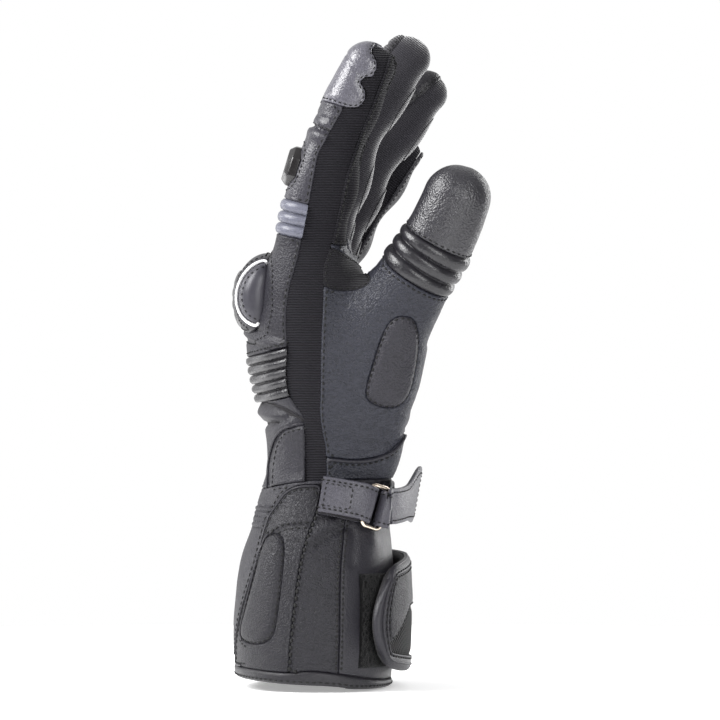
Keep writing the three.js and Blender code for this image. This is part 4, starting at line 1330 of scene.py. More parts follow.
LOOKS = {
    "ribs": "grey_leather", "back": "finger_back", "cap": "fingertip_leather", "wall": "finger_cloth",
    "front": "finger_leather",
}
OWN_LOOKS = {
    "index_cap": "tip_leather",
    "index_wall": "stretch",
    "index_front": "stretch",
    "middle_cap": "tip_cloth",
    "middle_front": "finger_cloth",
    "ring_front": "finger_cloth",
    "little_wall": "stretch",
    "little_front": "dark_leather",
    "little_cap": "dark_leather",
}


def ribs_of(name):
    """0 to 1 up a finger's grey ribs."""
    tube = tubes[name]
    return lambda p: (tube.place(p)[0] / tube.long - FINGER_START) / (RIBS_TOP - FINGER_START)


for name in FINGERS:
    run = tube_at[name][0]
    for kind, finish in LOOKS.items():
        piece = f"{name}_{kind}"
        split = {"phase": ribs_of(name), "lines": rib_lines(3)} if kind == "ribs" else {}
        along = z if name == "index" else run
        finish = OWN_LOOKS.get(piece, finish)
        dress(piece, panels[piece], finger_lift(name, kind), finish, along=along, **split)
print("fingers done,", len(pieces), "pieces")

# %% [markdown]
# ## The cuff
# Long panels run down the cuff. The leather on the palm side is smoother and darker, and a few soft folds
# fall from the strap. Small ribs lie across the back of the cuff, below the wrist.

# %% Cuff panels


LINING_FROM = 6.5
CUFF_FOLDS = [
    # places (x, z) along each fold below the strap, its height and its half width
    (SEAMS["crease"], -0.9, 0.9),
    ([(-4, 68), (2, 73), (12, 79)], 1.3, 2.0),
    ([(-1, 66), (6, 71), (13, 74)], -0.7, 1.6),
    ([(13, 82), (16, 70), (15, 58)], -0.9, 2.5),
    ([(22, 84), (24, 66)], 0.9, 3.0),
]


def cuff_lift(patch):
    p = patch.at
    high = smooth_step(p[:, 2], 60, 88)
    soft = np.c_[p[:, 0] * 0.8 - p[:, 2] * 0.6, p[:, 1], p[:, 0] * 0.6 + p[:, 2] * 0.8]
    drape = 0.9 * swell(soft, (30, 30, 9), 12) * high + 0.35 * swell(p, (22, 22, 50), 15)
    return leather_lift(patch, 8, 0.4) + drape + folds(p, CUFF_FOLDS, side=-1)


def cuff_back_lift(patch):
    p = patch.at
    phase = (p[:, 2] - 73.5) / 9.5
    return cuff_lift(patch) + ribs(phase, 4, 1.2)


for name, lift, finish in (
    ("cuff_back", cuff_back_lift, "leather"),
    ("cuff_side", cuff_lift, "cuff_leather"),
    ("cuff_mid", cuff_lift, "cuff_leather"),
    ("cuff_outer", cuff_lift, "cuff_leather"),
    ("cuff_palm", cuff_lift, "dark_leather"),
):
    dress(name, panels[name], lift, finish)
lining_skin = (skin_table(inner_points, inner_normals), inner_quads)
above_mouth = inner_points[:, 2] - LINING_FROM
dress("knit_lining", above_mouth, no_lift, "lining", skin=lining_skin, replaces=(), thickness=0.4)
print("cuff done,", len(pieces), "pieces")

# %% [markdown]
# ## The hem
# A folded strip of leather binds the cuff's mouth. It is a little thicker than the panels above it, and its
# lower edge dips towards the palm.

# %% Hem
HEM_BOTTOM = [(-60, 5.1), (-43.7, 5.1), (-35.4, 4.6), (-13.8, 3.2), (9.2, 2.3), (14.7, 0.5), (60, 0.1)]
hem_bottom = beside(HEM_BOTTOM, x, z)
HEM_ROLL = [(0, -0.5), (0.4, 0.3), (1.0, 0.75), (2.0, 0.95), (3.5, 0.8)]


def hem_lift(patch):
    return profile(HEM_ROLL, patch["edge"]) + 0.12 * swell(patch.at, 5, 31)


dress("cuff_hem", both(-seen["hem_top"], hem_bottom), hem_lift, "hem_leather", thickness=2.6)
print("hem", [round(v, 1) for v in dressed["cuff_hem"].at.min(0)])

# %% [markdown]
# ## The knuckle guard
# A loaf-shaped guard lies across the knuckles: dark leather over its back, a hard plate on top, and a satin
# cap at each end, edged by a silver piping. It is grown from a field of its own, a rounded block, and cut
# where it meets the hand.

# %% Knuckle guard
GUARD_MIDDLE = np.array([-23.8, -1.0, 177.6])
GUARD_HALF = np.array([15.4, 37.0, 20.6])
GUARD_POWER = 3.6
GUARD_CLEAR, GUARD_FRONT, GUARD_END = 0.2, -9.0, 18.0
PIPING_MIDDLE, PIPING_HALF = (-24.8, 179.8), (12.9, 15.2)


def guard_round(p):
    q = np.abs((p - GUARD_MIDDLE) / GUARD_HALF)
    return np.hypot(q[:, 0], q[:, 2])


def end_round(p):
    """1 on the oval of the piping at each end, seen from the thumb side, and less inside it."""
    high = p[:, 2] - PIPING_MIDDLE[1]
    return np.hypot((p[:, 0] - PIPING_MIDDLE[0] - 0.12 * high) / PIPING_HALF[0], high / PIPING_HALF[1])


def guard_field(p):
    q = np.abs((p - GUARD_MIDDLE) / GUARD_HALF)
    f = (guard_round(p) ** GUARD_POWER + q[:, 1] ** GUARD_POWER) ** (1 / GUARD_POWER)
    return (f - 1) * GUARD_HALF[0]


guard_points, guard_quads = surface_net(
    guard_field, GUARD_MIDDLE - GUARD_HALF - 3, GUARD_MIDDLE + GUARD_HALF * (0.8, 1, 1) + 3, min(CELL, 1.0)
)
guard_points, guard_normals = pull_on(guard_field, guard_points, 3)
guard_skin = (skin_table(guard_points, guard_normals), guard_quads)
off_hand = both(glove_field(guard_points) - GUARD_CLEAR, GUARD_FRONT - guard_points[:, 0])
ring_share = (end_round(guard_points) - 1) * PIPING_HALF[0]
at_end = np.abs(guard_points[:, 1] - GUARD_MIDDLE[1]) - GUARD_END


def guard_cover_lift(patch):
    return profile([(0, -0.8), (0.6, 0), (2, 0.15)], patch["edge"]) + 0.25 * swell(patch.at, 8, 41)


def guard_end_lift(patch):
    return profile([(0, -0.8), (0.6, -0.3), (2, 0.5), (4, 1.1), (8, 1.5)], patch["edge"])


cover = both(off_hand, np.maximum(ring_share, -at_end))
dress("guard_base", cover, guard_cover_lift, "dark_leather", skin=guard_skin)
for side, word in ((-1, "thumb"), (1, "little")):
    end = both(off_hand, -ring_share, at_end, side * (guard_points[:, 1] - GUARD_MIDDLE[1]))
    dress(f"guard_end_{word}", end, guard_end_lift, "dome", skin=guard_skin, replaces=())

PLATE_HALF, PLATE_POWER, PLATE_FRONT = np.array([24.0, 13.2]), 3.2, -26.0
CHANNEL_PITCH = 5.5


def plate_value(p):
    q = np.abs((p[:, [1, 2]] - GUARD_MIDDLE[[1, 2]]) / PLATE_HALF)
    return (1 - (q**PLATE_POWER).sum(1) ** (1 / PLATE_POWER)) * PLATE_HALF[1]


def channels(patch):
    """Three shallow channels pressed along the plate."""
    row = (patch["z"] - GUARD_MIDDLE[2]) / CHANNEL_PITCH
    nearest_row = np.clip(np.round(row), -1, 1)
    return -0.6 * bell(row, nearest_row, 1 / CHANNEL_PITCH) * smooth_step(patch["edge"], 2, 4)


def plate_lift(patch):
    return profile([(0, 0.2), (0.5, 0.7), (1.5, 1.0), (4, 1.1)], patch["edge"]) + channels(patch)


plate = both(plate_value(guard_points), PLATE_FRONT - guard_points[:, 0])
dress("guard_plate", plate, plate_lift, "plate", skin=guard_skin, thickness=1.6)
print("guard", [round(v, 1) for v in dressed["guard_base"].at.min(0)])

# %% [markdown]
# ## Finger sliders
# A slider is a small hard block with cut facets, on the first joint of each finger. Eight corners round its
# foot, eight above them and eight drawn in at the top give the facets, and a narrow bevel catches the light.

# %% Sliders
SLIDER_AT = 0.45
SLIDER_HALF, SLIDER_TAPER = (8.0, 9.0), 5.0
SLIDER_WIDE = {"index": 1.0, "middle": 1.0, "ring": 0.95, "little": 0.86}
# height above the finger and share of the width, from the foot to the top
SLIDER_RINGS = [(-2.0, 1.04), (1.6, 1.0), (4.0, 0.6)]
SLIDER_CORNERS = [
    (-1, 0.45), (-0.45, 1), (0.45, 1), (1, 0.45), (1, -0.45), (0.45, -1), (-0.45, -1), (-1, -0.45),
]


def slider(name):
    tube = tubes[name]
    i = int(SLIDER_AT * (len(tube.at) - 1))
    half, _ = tube.halves(tube.at[i])
    foot = tube.centre[i] - tube.front[i] * half
    points = []
    for high, share in SLIDER_RINGS:
        for a, b in SLIDER_CORNERS:
            side = a * SLIDER_HALF[0] * SLIDER_WIDE[name] * share
            along = b * (SLIDER_HALF[1] - (1 - share) * SLIDER_TAPER)
            points.append(foot + tube.side[i] * side + tube.along[i] * along - tube.front[i] * high)
    faces = ring_faces(len(SLIDER_CORNERS), len(SLIDER_RINGS))
    obj = mesh_piece(f"{name}_slider_dressed", points, faces, [finishes["plastic"]])
    bevel = obj.modifiers.new("edges", "BEVEL")
    bevel.width, bevel.segments, bevel.limit_method = 0.45 * MM, 3, "NONE"
    own_mesh(obj)
    shade_smooth(obj.data)
    obj.data.set_sharp_from_angle(angle=math.radians(35))
    pieces[f"{name}_slider"] = (obj, (f"{name}_slider",))


for name in FINGERS:
    slider(name)
print(len(pieces), "pieces with the sliders")

# %% [markdown]
# ## Places on the cuff
# The strap, its ring and the flap are laid on the cuff by a turn round it, 0 at the palm and -90 at the
# thumb side, a height, and how far they lift off the leather.

# %% Places on the cuff


def cuff_place(turn, high, lift=0.0):
    """A place on the cuff, and the way out of it."""

    def on(turn, high):
        c, s = math.cos(math.radians(turn)), math.sin(math.radians(turn))
        c, s = (math.copysign(abs(v) ** (2 / BODY_POWER), v) for v in (c, s))
        back, palm, half = (float(read(BODY, column, high)) for column in (1, 2, 3))
        return np.array([(palm - back) / 2 + (back + palm) / 2 * c, half * s, high])

    round_it = on(turn + 1, high) - on(turn - 1, high)
    up = on(turn, high + 1) - on(turn, high - 1)
    out = np.cross(round_it, up)
    out /= np.linalg.norm(out)
    return on(turn, high) + out * lift, out


def sheet_skin(rows, columns, at, flip=False):
    """A grid of points as a skin: at(u, v) gives each place. Normals come from the grid itself."""
    grid = np.array([[at(u, v) for v in np.linspace(0, 1, columns)] for u in np.linspace(0, 1, rows)])
    du, dv = np.gradient(grid, axis=0), np.gradient(grid, axis=1)
    normal = np.cross(du, dv)
    normal /= np.linalg.norm(normal, axis=2)[..., None] + 1e-9
    if flip:
        normal = -normal
    number = np.arange(rows * columns).reshape(rows, columns)
    quads = np.stack([number[:-1, :-1], number[1:, :-1], number[1:, 1:], number[:-1, 1:]], -1).reshape(-1, 4)
    if flip:
        quads = quads[:, ::-1]
    return skin_table(grid.reshape(-1, 3), normal.reshape(-1, 3)), quads


print("cuff at the strap", cuff_place(-50, 81)[0].round(1))

# %% [markdown]
# ## The wrist strap
# A strap is a flat band: a path, the way across it at each step, and half its width there. It runs from
# under the flap's side to the ring, turns round one long bar and comes back over itself to a wide pull tab.
# A shorter band holds the ring's other bar. The section has rounded edges and a shallow groove where each
# edge is sewn.

# %% Strap
CUFF_LONG, CLEAR = 92, 0.3
# the turn round the cuff and the strap's height there, as a share of the cuff's length
STRAP_ROWS = np.array([(-100, 0.965), (-90, 0.95), (-50, 0.88), (0, 0.925), (62, 0.95)]) * (1, CUFF_LONG)
STRAP_WIDE, STRAP_THICK = 16.5, 1.6
HALF_STRAP = STRAP_WIDE / 2
FINE_STEP = 0.9
STRAP_STEP = FINE_STEP
RING_TURN, RING_WIRE, RING_LONG = -54, 2.0, 12.0
RING_TILT = math.radians(16)
# how far the band's bend round a bar, its lower layer, the ring and its upper layer stand off
LOOP = 0.75 * RING_WIRE + CLEAR + STRAP_THICK / 2
UNDER = STRAP_THICK / 2 + 1.5
BAR, OVER = UNDER + LOOP, UNDER + 2 * LOOP


def strap_at(turn, lift):
    high = np.interp(turn, STRAP_ROWS[:, 0], STRAP_ROWS[:, 1])
    return cuff_place(turn, high, lift)


def across_of(along, out):
    flat = along - out * along.dot(out)
    across = np.cross(out, flat / np.linalg.norm(flat))
    across /= np.linalg.norm(across)
    return -across if across[2] < 0 else across


ring_middle, ring_normal = strap_at(RING_TURN, BAR + HALF_STRAP * math.sin(RING_TILT))
ring_along = strap_at(RING_TURN, BAR)[0] - strap_at(RING_TURN - 8, BAR)[0]
ring_along /= np.linalg.norm(ring_along)
ring_across = across_of(ring_along, ring_normal)
ring_across = ring_across * math.cos(RING_TILT) + ring_normal * math.sin(RING_TILT)
ring_out = np.cross(ring_along, ring_across)
ring_out *= np.sign(ring_out.dot(ring_normal))


def bar_turn(sense):
    """Half a turn round one of the ring's long bars, 1 the bar towards the palm and -1 the other."""
    bar = ring_middle + ring_along * sense * (RING_LONG - RING_WIRE) / 2
    for turn in (-90, -60, -30, 0, 30, 60, 90):
        a = math.radians(turn)
        yield bar - ring_along * sense * LOOP * math.cos(a) + ring_out * LOOP * math.sin(a), ring_across


def along_cuff(rows):
    """Places on the strap's path with the way across, from rows of turn, lift, rise and lean.

    A rise shifts the strap up its own width, and a lean takes its upper edge away from the cuff.
    """
    for turn, lift, rise, lean in rows:
        here, out = strap_at(turn, lift + HALF_STRAP * lean)
        ahead = strap_at(turn + 1, lift)[0] - here
        across = across_of(ahead, out) + out * lean
        across /= np.linalg.norm(across)
        yield here + across * rise, across


# the band's section: shares of its half width and of its thickness, once round
BAND_SECTION = [
    (1, 0), (0.985, 0.36), (0.93, 0.5), (0.84, 0.5), (0.78, 0.4), (0.72, 0.5), (0.3, 0.56), (-0.3, 0.56),
]
BAND_SECTION += [(-0.72, 0.5), (-0.78, 0.4), (-0.84, 0.5), (-0.93, 0.5), (-0.985, 0.36), (-1, 0)]
BAND_SECTION += [(-0.985, -0.36), (-0.9, -0.5), (0, -0.5), (0.9, -0.5), (0.985, -0.36)]


def band(name, stations, halves, thick, finish, under_finish, point=0.0, leather_below=False):
    """A band along a path. point draws its far end in to a blunt tip over that many millimetres.

    A strap that turns back through its ring shows its lower side there, so the leather can be below.
    """
    path = np.array([here for here, _ in stations])
    across = np.array([way for _, way in stations])
    run = np.r_[0, np.cumsum(np.linalg.norm(np.diff(path, axis=0), axis=1))]
    keep = np.r_[True, np.diff(run) > 0.05]
    run, path, across, halves = run[keep], path[keep], across[keep], np.asarray(halves, float)[keep]
    table = curved(np.c_[run, path, across, halves], 24)
    fine = np.linspace(0, run[-1], int(run[-1] / STRAP_STEP))
    path = np.array([np.interp(fine, table[:, 0], table[:, i]) for i in (1, 2, 3)]).T
    across = np.array([np.interp(fine, table[:, 0], table[:, i]) for i in (4, 5, 6)]).T
    half = np.interp(fine, table[:, 0], table[:, 7])
    along = np.gradient(path, axis=0)
    along /= np.linalg.norm(along, axis=1)[:, None]
    across -= along * (across * along).sum(1)[:, None]
    across /= np.linalg.norm(across, axis=1)[:, None]
    up = np.cross(across, along)
    left = fine[-1] - fine
    if point:
        half = half * np.sqrt(np.clip(1 - (1 - np.clip(left / point, 0, 1)) ** 2.4, 0.02, 1))
    wave = 0.2 * swell(path, 9, 51)
    points, n = [], len(BAND_SECTION)
    for i in range(len(fine)):
        for a, b in BAND_SECTION:
            points.append(path[i] + across[i] * a * half[i] + up[i] * (b * thick + (wave[i] if b > 0 else 0)))
    faces = ring_faces(n, len(fine))
    edge = [(1 - abs(a)) * half[i] if b >= 0 else 3 for i in range(len(fine)) for a, b in BAND_SECTION]
    carried = {"edge": edge, "along": np.repeat(fine, n)}
    obj = mesh_piece(f"{name}_dressed", points, faces, [finishes[finish], finishes[under_finish]], carried)
    sign = -1 if leather_below else 1
    under = [all(BAND_SECTION[i % n][1] * sign <= -0.36 for i in (k, k + 1)) for k in range(n)]
    obj.data.polygons.foreach_set(
        "material_index", [int(under[i % n]) for i in range(len(faces) - 2)] + [0, 0]
    )
    tidy_mesh(obj, 1e-6, turn_out=True)
    obj.data.set_sharp_from_angle(angle=math.radians(70))
    pieces[name] = (obj, (name,))
    return path, across, up, half


print("a band has", len(BAND_SECTION), "points round it")

# %% [markdown]
# ## The strap's way
# The strap's end is a table: it rises off the cuff past the ring and widens into the tab. Towards the ring
# the strap and its anchor lean, so that both meet the tilted ring squarely.

# %% Strap and anchor
STRAP_END = [
    # turn, lift above the upper layer, rise, lean, half width
    (-44, 0, 0, 0.26, HALF_STRAP),
    (-36, 0.1, 0, 0.22, HALF_STRAP),
    (-26, 0.6, 0, 0.17, HALF_STRAP),
    (-16, 1.2, 0.2, 0.14, 8.6),
    (-8, 2.0, 1.0, 0.15, 10.6),
    (-1, 2.8, 2.0, 0.18, 12.8),
    (6, 3.6, 2.4, 0.2, 12.4),
    (12, 4.2, 2.4, 0.2, 9.5),
]
UNDER_LEANS = [0] * 9 + [0.05, 0.11, 0.18, 0.25]
ANCHOR_LEANS = [0, 0.03, 0.08, 0.14, 0.2, 0.26]
POINT_LONG = 5.0

under_rows = [(turn, UNDER, 0, lean) for turn, lean in zip(np.linspace(62, -40, 13), UNDER_LEANS)]
over_rows = [(turn, OVER + lift, rise, lean) for turn, lift, rise, lean, _ in STRAP_END]
stations = [*along_cuff(under_rows), *bar_turn(1), *along_cuff(over_rows)]
halves = [HALF_STRAP] * (len(stations) - len(STRAP_END)) + [row[-1] for row in STRAP_END]
thick = STRAP_THICK + CLEAR
# The strap and its anchor take the lighter strap leather, which paints the light on their faces.
strap_path = band(
    "wrist_strap", stations, halves, thick, "strap_leather", "hook", POINT_LONG, leather_below=True
)

anchor_turns = list(zip(np.linspace(-91, -66, 6), ANCHOR_LEANS))
inner = along_cuff([(turn, UNDER, 0, lean) for turn, lean in anchor_turns])
outer = along_cuff([(turn, OVER, 0, lean) for turn, lean in anchor_turns[::-1]])
stations = [*inner, *bar_turn(-1), *outer]
anchor_path = band(
    "strap_anchor", stations, [HALF_STRAP] * len(stations), STRAP_THICK, "strap_leather", "lining"
)
print("strap", len(strap_path[0]), "steps")

# %% [markdown]
# ## The ring
# The ring is bent from round wire into a rectangle with small corners: a circle swept along a closed path.

# %% Ring
RING_WIDE = STRAP_WIDE + 2 * CLEAR + 2 * RING_WIRE


def ring_loop(corner=2.2, turns=6):
    half_long, half_wide = (RING_LONG - RING_WIRE) / 2, (RING_WIDE - RING_WIRE) / 2
    for sx, sy, start in ((1, 1, 0), (-1, 1, 90), (-1, -1, 180), (1, -1, 270)):
        for i in range(turns + 1):
            a = math.radians(start + 90 * i / turns)
            u = sx * (half_long - corner) + corner * math.cos(a)
            v = sy * (half_wide - corner) + corner * math.sin(a)
            yield ring_middle + ring_along * u + ring_across * v


def swept(name, path, radius, finish, sides=12):
    """A round wire along a closed path, as a curve turned into a mesh."""
    curve = bpy.data.curves.new(name, "CURVE")
    curve.dimensions = "3D"
    curve.bevel_depth, curve.bevel_resolution = radius * MM, sides // 4
    spline = curve.splines.new("POLY")
    spline.points.add(len(path) - 1)
    for point, place in zip(spline.points, path):
        point.co = (*(np.asarray(place) * MM), 1)
    spline.use_cyclic_u = True
    obj = add_object(name, curve)
    graph = bpy.context.evaluated_depsgraph_get()
    mesh = bpy.data.meshes.new_from_object(obj.evaluated_get(graph), depsgraph=graph)
    bpy.data.objects.remove(obj)
    mesh.materials.clear()
    mesh.materials.append(finishes[finish])
    shade_smooth(mesh)
    return add_object(name, mesh)


ring = swept("strap_ring_dressed", list(ring_loop()), RING_WIRE / 2, "metal")
pieces["strap_ring"] = (ring, ("strap_ring",))
print("ring", RING_LONG, "by", RING_WIDE, "mm")

# %% [markdown]
# ## The flap and its hook tape
# The flap closes the cuff. It is padded, so its face swells and its edge is a thick roll, with two panels
# of leather and a window of ribbed mesh sewn inside the rim. Under it, a fuzzy tape is sewn to the cuff.

# %% Flap
FLAP_TURNS = (78, -57)
FLAP_LONG, FLAP_FOOT, FLAP_HIGH, FLAP_THICK = 118, 7.2, 53.0, 5.2
FLAP_EDGE = 2.6
TAPE_THICK = 0.9
RIM_END, RIM_FOOT, RIM_TOP, RIM_START = 7.2, 6.0, 3.5, 6.0
TAPE_TURNS, TAPE_HIGHS = (-20, -60), (0.06, 0.86)
TAPE_LONG, TAPE_TALL = 38, 42


def flap_heights(u):
    square = np.clip((u - 0.9) / 0.1, 0, 1) ** 3 * 0.09
    return FLAP_FOOT + FLAP_HIGH * (0.1 * u**4 + square), FLAP_FOOT + FLAP_HIGH * (1 - 0.12 * u**4 - square)


def flap_at(side):
    """The flap's outer face (side 1) or inner face (side -1); the two meet along its rounded edge."""

    def at(u, v):
        low, high = flap_heights(u)
        end = FLAP_TURNS[1] + 9 * (2 * v - 0.85) ** 2
        turn = FLAP_TURNS[0] + (end - FLAP_TURNS[0]) * u
        up = low + (high - low) * v
        in_from = min((1 - u) * FLAP_LONG, u * FLAP_LONG, v * (high - low), (1 - v) * (high - low))
        rim = np.clip(in_from / FLAP_EDGE, 0, 1)
        half = FLAP_THICK / 2 * math.sqrt(1 - (1 - rim) ** 2)
        middle = 3 * CLEAR + TAPE_THICK + 3.0 * u**2 + FLAP_THICK / 2
        return cuff_place(turn, up, middle + side * half)[0]

    return at


def ease(t):
    """Draws rows together near both edges, so that the roll there stays round."""
    turned = np.cos(np.pi * t)
    return 0.5 - 0.5 * turned * (0.55 + 0.45 * np.abs(turned))


def flap_face(side):
    """One face of the flap as a function of the eased shares along and up it."""
    at = flap_at(side)
    return lambda u, v: at(ease(u), ease(v))


along_rows, up_rows = ((130, 62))
flap_skin = sheet_skin(along_rows, up_rows, flap_face(1), flip=True)
flap_back = sheet_skin(along_rows, up_rows, flap_face(-1))
flap_rows = flap_skin[0]
flap_u = np.repeat(ease(np.linspace(0, 1, along_rows)), up_rows)
from_start, from_end = flap_u * FLAP_LONG, (1 - flap_u) * FLAP_LONG
from_foot = flap_rows[:, 2] - flap_heights(flap_u)[0]
from_top = flap_heights(flap_u)[1] - flap_rows[:, 2]
inside_rim = both(from_end - RIM_END, from_foot - RIM_FOOT, from_top - RIM_TOP, from_start - RIM_START)
mesh_top = 23 + 26 * smooth_step(from_end, 34, 8) * -0.45 + 6 * smooth_step(from_end, 8, 40)


def flap_lift(patch):
    p = patch.at
    return profile([(0, -0.7), (0.5, -0.1), (1.4, 0.3), (3, 0.45)], patch["edge"]) + 0.3 * swell(p, 12, 61)


def rim_lift(patch):
    return flap_lift(patch) * smooth_step(patch["edge"], -1, 1)


def window_lift(patch):
    """The mesh lies below the leather that frames it."""
    return profile([(0, -0.9), (3, -0.2)], patch["edge"])


dress("cuff_flap", -inside_rim, rim_lift, "dark_leather", skin=flap_skin, thickness=1.0)
leather_part, window_part = both(inside_rim, from_foot - mesh_top), both(inside_rim, mesh_top - from_foot)
dress("flap_leather", leather_part, flap_lift, "cuff_leather", skin=flap_skin, replaces=())
dress("flap_window", window_part, window_lift, "mesh", skin=flap_skin, replaces=())
everywhere = np.full(len(flap_rows), 9.0)
dress("flap_lining", everywhere, no_lift, "lining", skin=flap_back, replaces=(), thickness=0.6)


def tape_at(u, v):
    turn = np.interp(u, (0, 1), TAPE_TURNS)
    return cuff_place(turn, FLAP_FOOT + FLAP_HIGH * np.interp(v, (0, 1), TAPE_HIGHS), TAPE_THICK)[0]


def tape_lift(patch):
    p = patch.at
    return 0.4 * swell(p, 1.1, 71) * smooth_step(patch["edge"], 0, 1) + profile(
        [(0, -0.6), (1, 0)], patch["edge"]
    )


along_rows, up_rows = ((110, 100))
tape_u = np.repeat(np.linspace(0, 1, along_rows), up_rows)
tape_v = np.tile(np.linspace(0, 1, up_rows), along_rows)
tape_edge = both(tape_u * TAPE_LONG, (1 - tape_u) * TAPE_LONG, tape_v * TAPE_TALL, (1 - tape_v) * TAPE_TALL)
tape_skin = sheet_skin(along_rows, up_rows, tape_at, flip=True)
dress("flap_patch", tape_edge + 0.01, tape_lift, "hook", skin=tape_skin, thickness=0.8)
print("flap from", dressed["cuff_flap"].at.min(0).round(1), "to", dressed["cuff_flap"].at.max(0).round(1))

# %% [markdown]
# ## Lines for the needle
# A seam line is where a field of a patch takes one value: each face that the line crosses gives a short
# piece, and the pieces are chained. A line keeps the way out of the leather at each step, so that stitches
# lie flat on it. A test on the place keeps only the stretch of seam that is sewn that way.

# %% Lines on a patch


def lines_on(patch, values, level=0.0, keep=None, lift=0.0):
    """The places where values equals level on a patch, as chains of (place, way out)."""
    value = values - level
    faces = [*patch.quads.tolist(), *patch.loose]
    above = value > 0
    links, table = {}, {}
    for face in faces:
        cross = []
        for a, b in zip(face, face[1:] + face[:1]):
            if above[a] != above[b]:
                key = (min(a, b), max(a, b))
                if key not in table:
                    t = value[a] / (value[a] - value[b])
                    table[key] = patch.rows[a, :6] + (patch.rows[b, :6] - patch.rows[a, :6]) * t
                cross.append(key)
        if len(cross) == 2:
            for one, other in (cross, cross[::-1]):
                links.setdefault(one, []).append(other)
    chains, seen_keys = [], set()
    for start in sorted(links, key=lambda k: (len(links[k]), k)):
        if start in seen_keys:
            continue
        chain, here = [], start
        while here is not None:
            seen_keys.add(here)
            chain.append(here)
            here = next((k for k in links[here] if k not in seen_keys), None)
        if len(links[start]) > 1 and start in links.get(chain[-1], []):
            chain.append(start)
        chains.append(np.array([table[k] for k in chain]))
    out = []
    for chain in chains:
        wanted = np.ones(len(chain), bool) if keep is None else keep(chain[:, :3])
        cuts = np.flatnonzero(np.diff(wanted.astype(int))) + 1
        for part, ok in zip(np.split(chain, cuts), np.split(wanted, cuts)):
            if ok[0] and len(part) > 4:
                out.append(smoothed(part, lift))
    return out


def smoothed(chain, lift=0.0, rounds=3):
    chain = chain.copy()
    for _ in range(rounds):
        chain[1:-1] = (chain[:-2] + 2 * chain[1:-1] + chain[2:]) / 4
    chain[:, 3:6] /= np.linalg.norm(chain[:, 3:6], axis=1)[:, None]
    chain[:, :3] += chain[:, 3:6] * lift
    return chain


print(len(SEAMS), "seam lines to sew along")

# %% [markdown]
# ## What is sewn where
# Each row of stitches names its panel, its distance from the seam, and the stretch of seam it keeps to.
# Cords are laid in the same way, in or beside a seam.

# %% Sewing
THREADS = ("hand", "palm", "fingers", "cuff", "double", "zigzag", "guard", "strap")
seams = {group: [] for group in (*THREADS, "piping", "silver", "fine_piping")}


def near_line(line, reach):
    """A test for places within reach of a seam line."""
    return lambda p: np.abs(nearest(rounded(SEAMS[line]), p[:, 0], p[:, 2])[0]) < reach


def all_of(*tests):
    return lambda p: np.logical_and.reduce([test(p) for test in tests])


def sew(group, patch_name, level=1.5, keep=None, values=None, lift=0.12):
    """Stitches or a cord where a panel's distance to its edge, or another field, takes a value."""
    patch = dressed[patch_name]
    field = patch["edge"] if values is None else values(patch.at)
    seams[group] += lines_on(patch, field, level, keep, lift)


def near_side(p):
    return p[:, 1] < -4


def far_side(p):
    return p[:, 1] > 4


# the slider's sewn frame: half its width and half its length
FRAME_HALF = (9.2, 11.0)


def sew_finger(name):
    """The stitches of one finger: its cap, its rubbed edge, its fold and the frame of its slider."""
    tube = tubes[name]

    def share_run(p):
        return tube.place(p)[0] / tube.long

    def slider_frame(p):
        run, _, v = tube.place(p)
        q = np.abs(np.c_[v / FRAME_HALF[0], (run - tube.long * SLIDER_AT) / FRAME_HALF[1]])
        return (q**3).sum(1) ** (1 / 3) * FRAME_HALF[0]

    sew("fingers", f"{name}_cap", 1.3)
    if name in ("index", "little"):
        sew("fingers", f"{name}_front", 1.9)
    sew("fingers", f"{name}_back", 0.625, None, share_run)
    sew("fingers", f"{name}_back", FRAME_HALF[0], lambda p: tube.place(p)[1] < 0, slider_frame)


def crease_away(p):
    """Distance to the cuff's crease on the thumb side."""
    away, _ = nearest(rounded(SEAMS["crease"]), p[:, 0], p[:, 2])
    return np.where(p[:, 1] < 0, away, 20)


def above_hem(p):
    return beside(HEM_BOTTOM, p[:, 0], p[:, 2])


# the two long seams of the stretch cloth
for name in ("back_panel", "index_back"):
    sew("hand", name, 1.3, near_line("back_seam", 4.5))
for name in ("thumb_panel", "palm_panel", "index_front"):
    sew("palm", name, 1.2, near_line("palm_seam", 4))
sew("palm", "wrist_front", 1.2, near_line("palm_seam", 3.5))
sew("hand", "thumb_web", 1.0)
# the palm's pad and the cuff's pad, sewn in their furrows
sew("palm", "palm_pad", 0.7)
sew("cuff", "cuff_pad", 0.7)
# above and below the back's ribs, and round the wrist's pad
for side_test in (near_side, far_side):
    sew("hand", "back_panel", BACK_RIBS[1] + 2.0, side_test, slant)
sew("hand", "wrist_back", 1.7, None, seen_pad)
sew("piping", "wrist_back", -0.7, None, seen_pad, 0.1)
# the heel: a piping in the seam and one row of stitches below it
sew("palm", "wrist_front", 2.3, near_line("heel", 4.5))
sew("piping", "wrist_front", 0.8, near_line("heel", 3), lift=0.2)
# thumb
sew("hand", "thumb_cap", 1.3)
for name in ("thumb_panel", "palm_panel"):
    sew("palm", name, 1.6, lambda p: np.abs(tubes["thumb"].place(p)[0] - THUMB_RIBS[0]) < 3.5)
# fingers
for name in FINGERS:
    sew_finger(name)
# cuff
for name in ("cuff_side", "cuff_outer", "cuff_back"):
    sew("cuff", name, 1.9, near_line("piped", 4.5))
for name in ("cuff_side", "cuff_outer"):
    sew("fine_piping", name, 0.6, near_line("piped", 3), lift=0.15)
for name in ("cuff_mid", "cuff_outer", "cuff_palm"):
    sew("double", name, 1.3, all_of(near_line("double", 4), lambda p: p[:, 2] > 10))
sew("zigzag", "cuff_mid", 0.5, near_line("zigzag", 3), lift=0.25)
sew("cuff", "cuff_side", 1.2, None, crease_away)
sew("cuff", "cuff_hem", 1.5, None, above_hem)
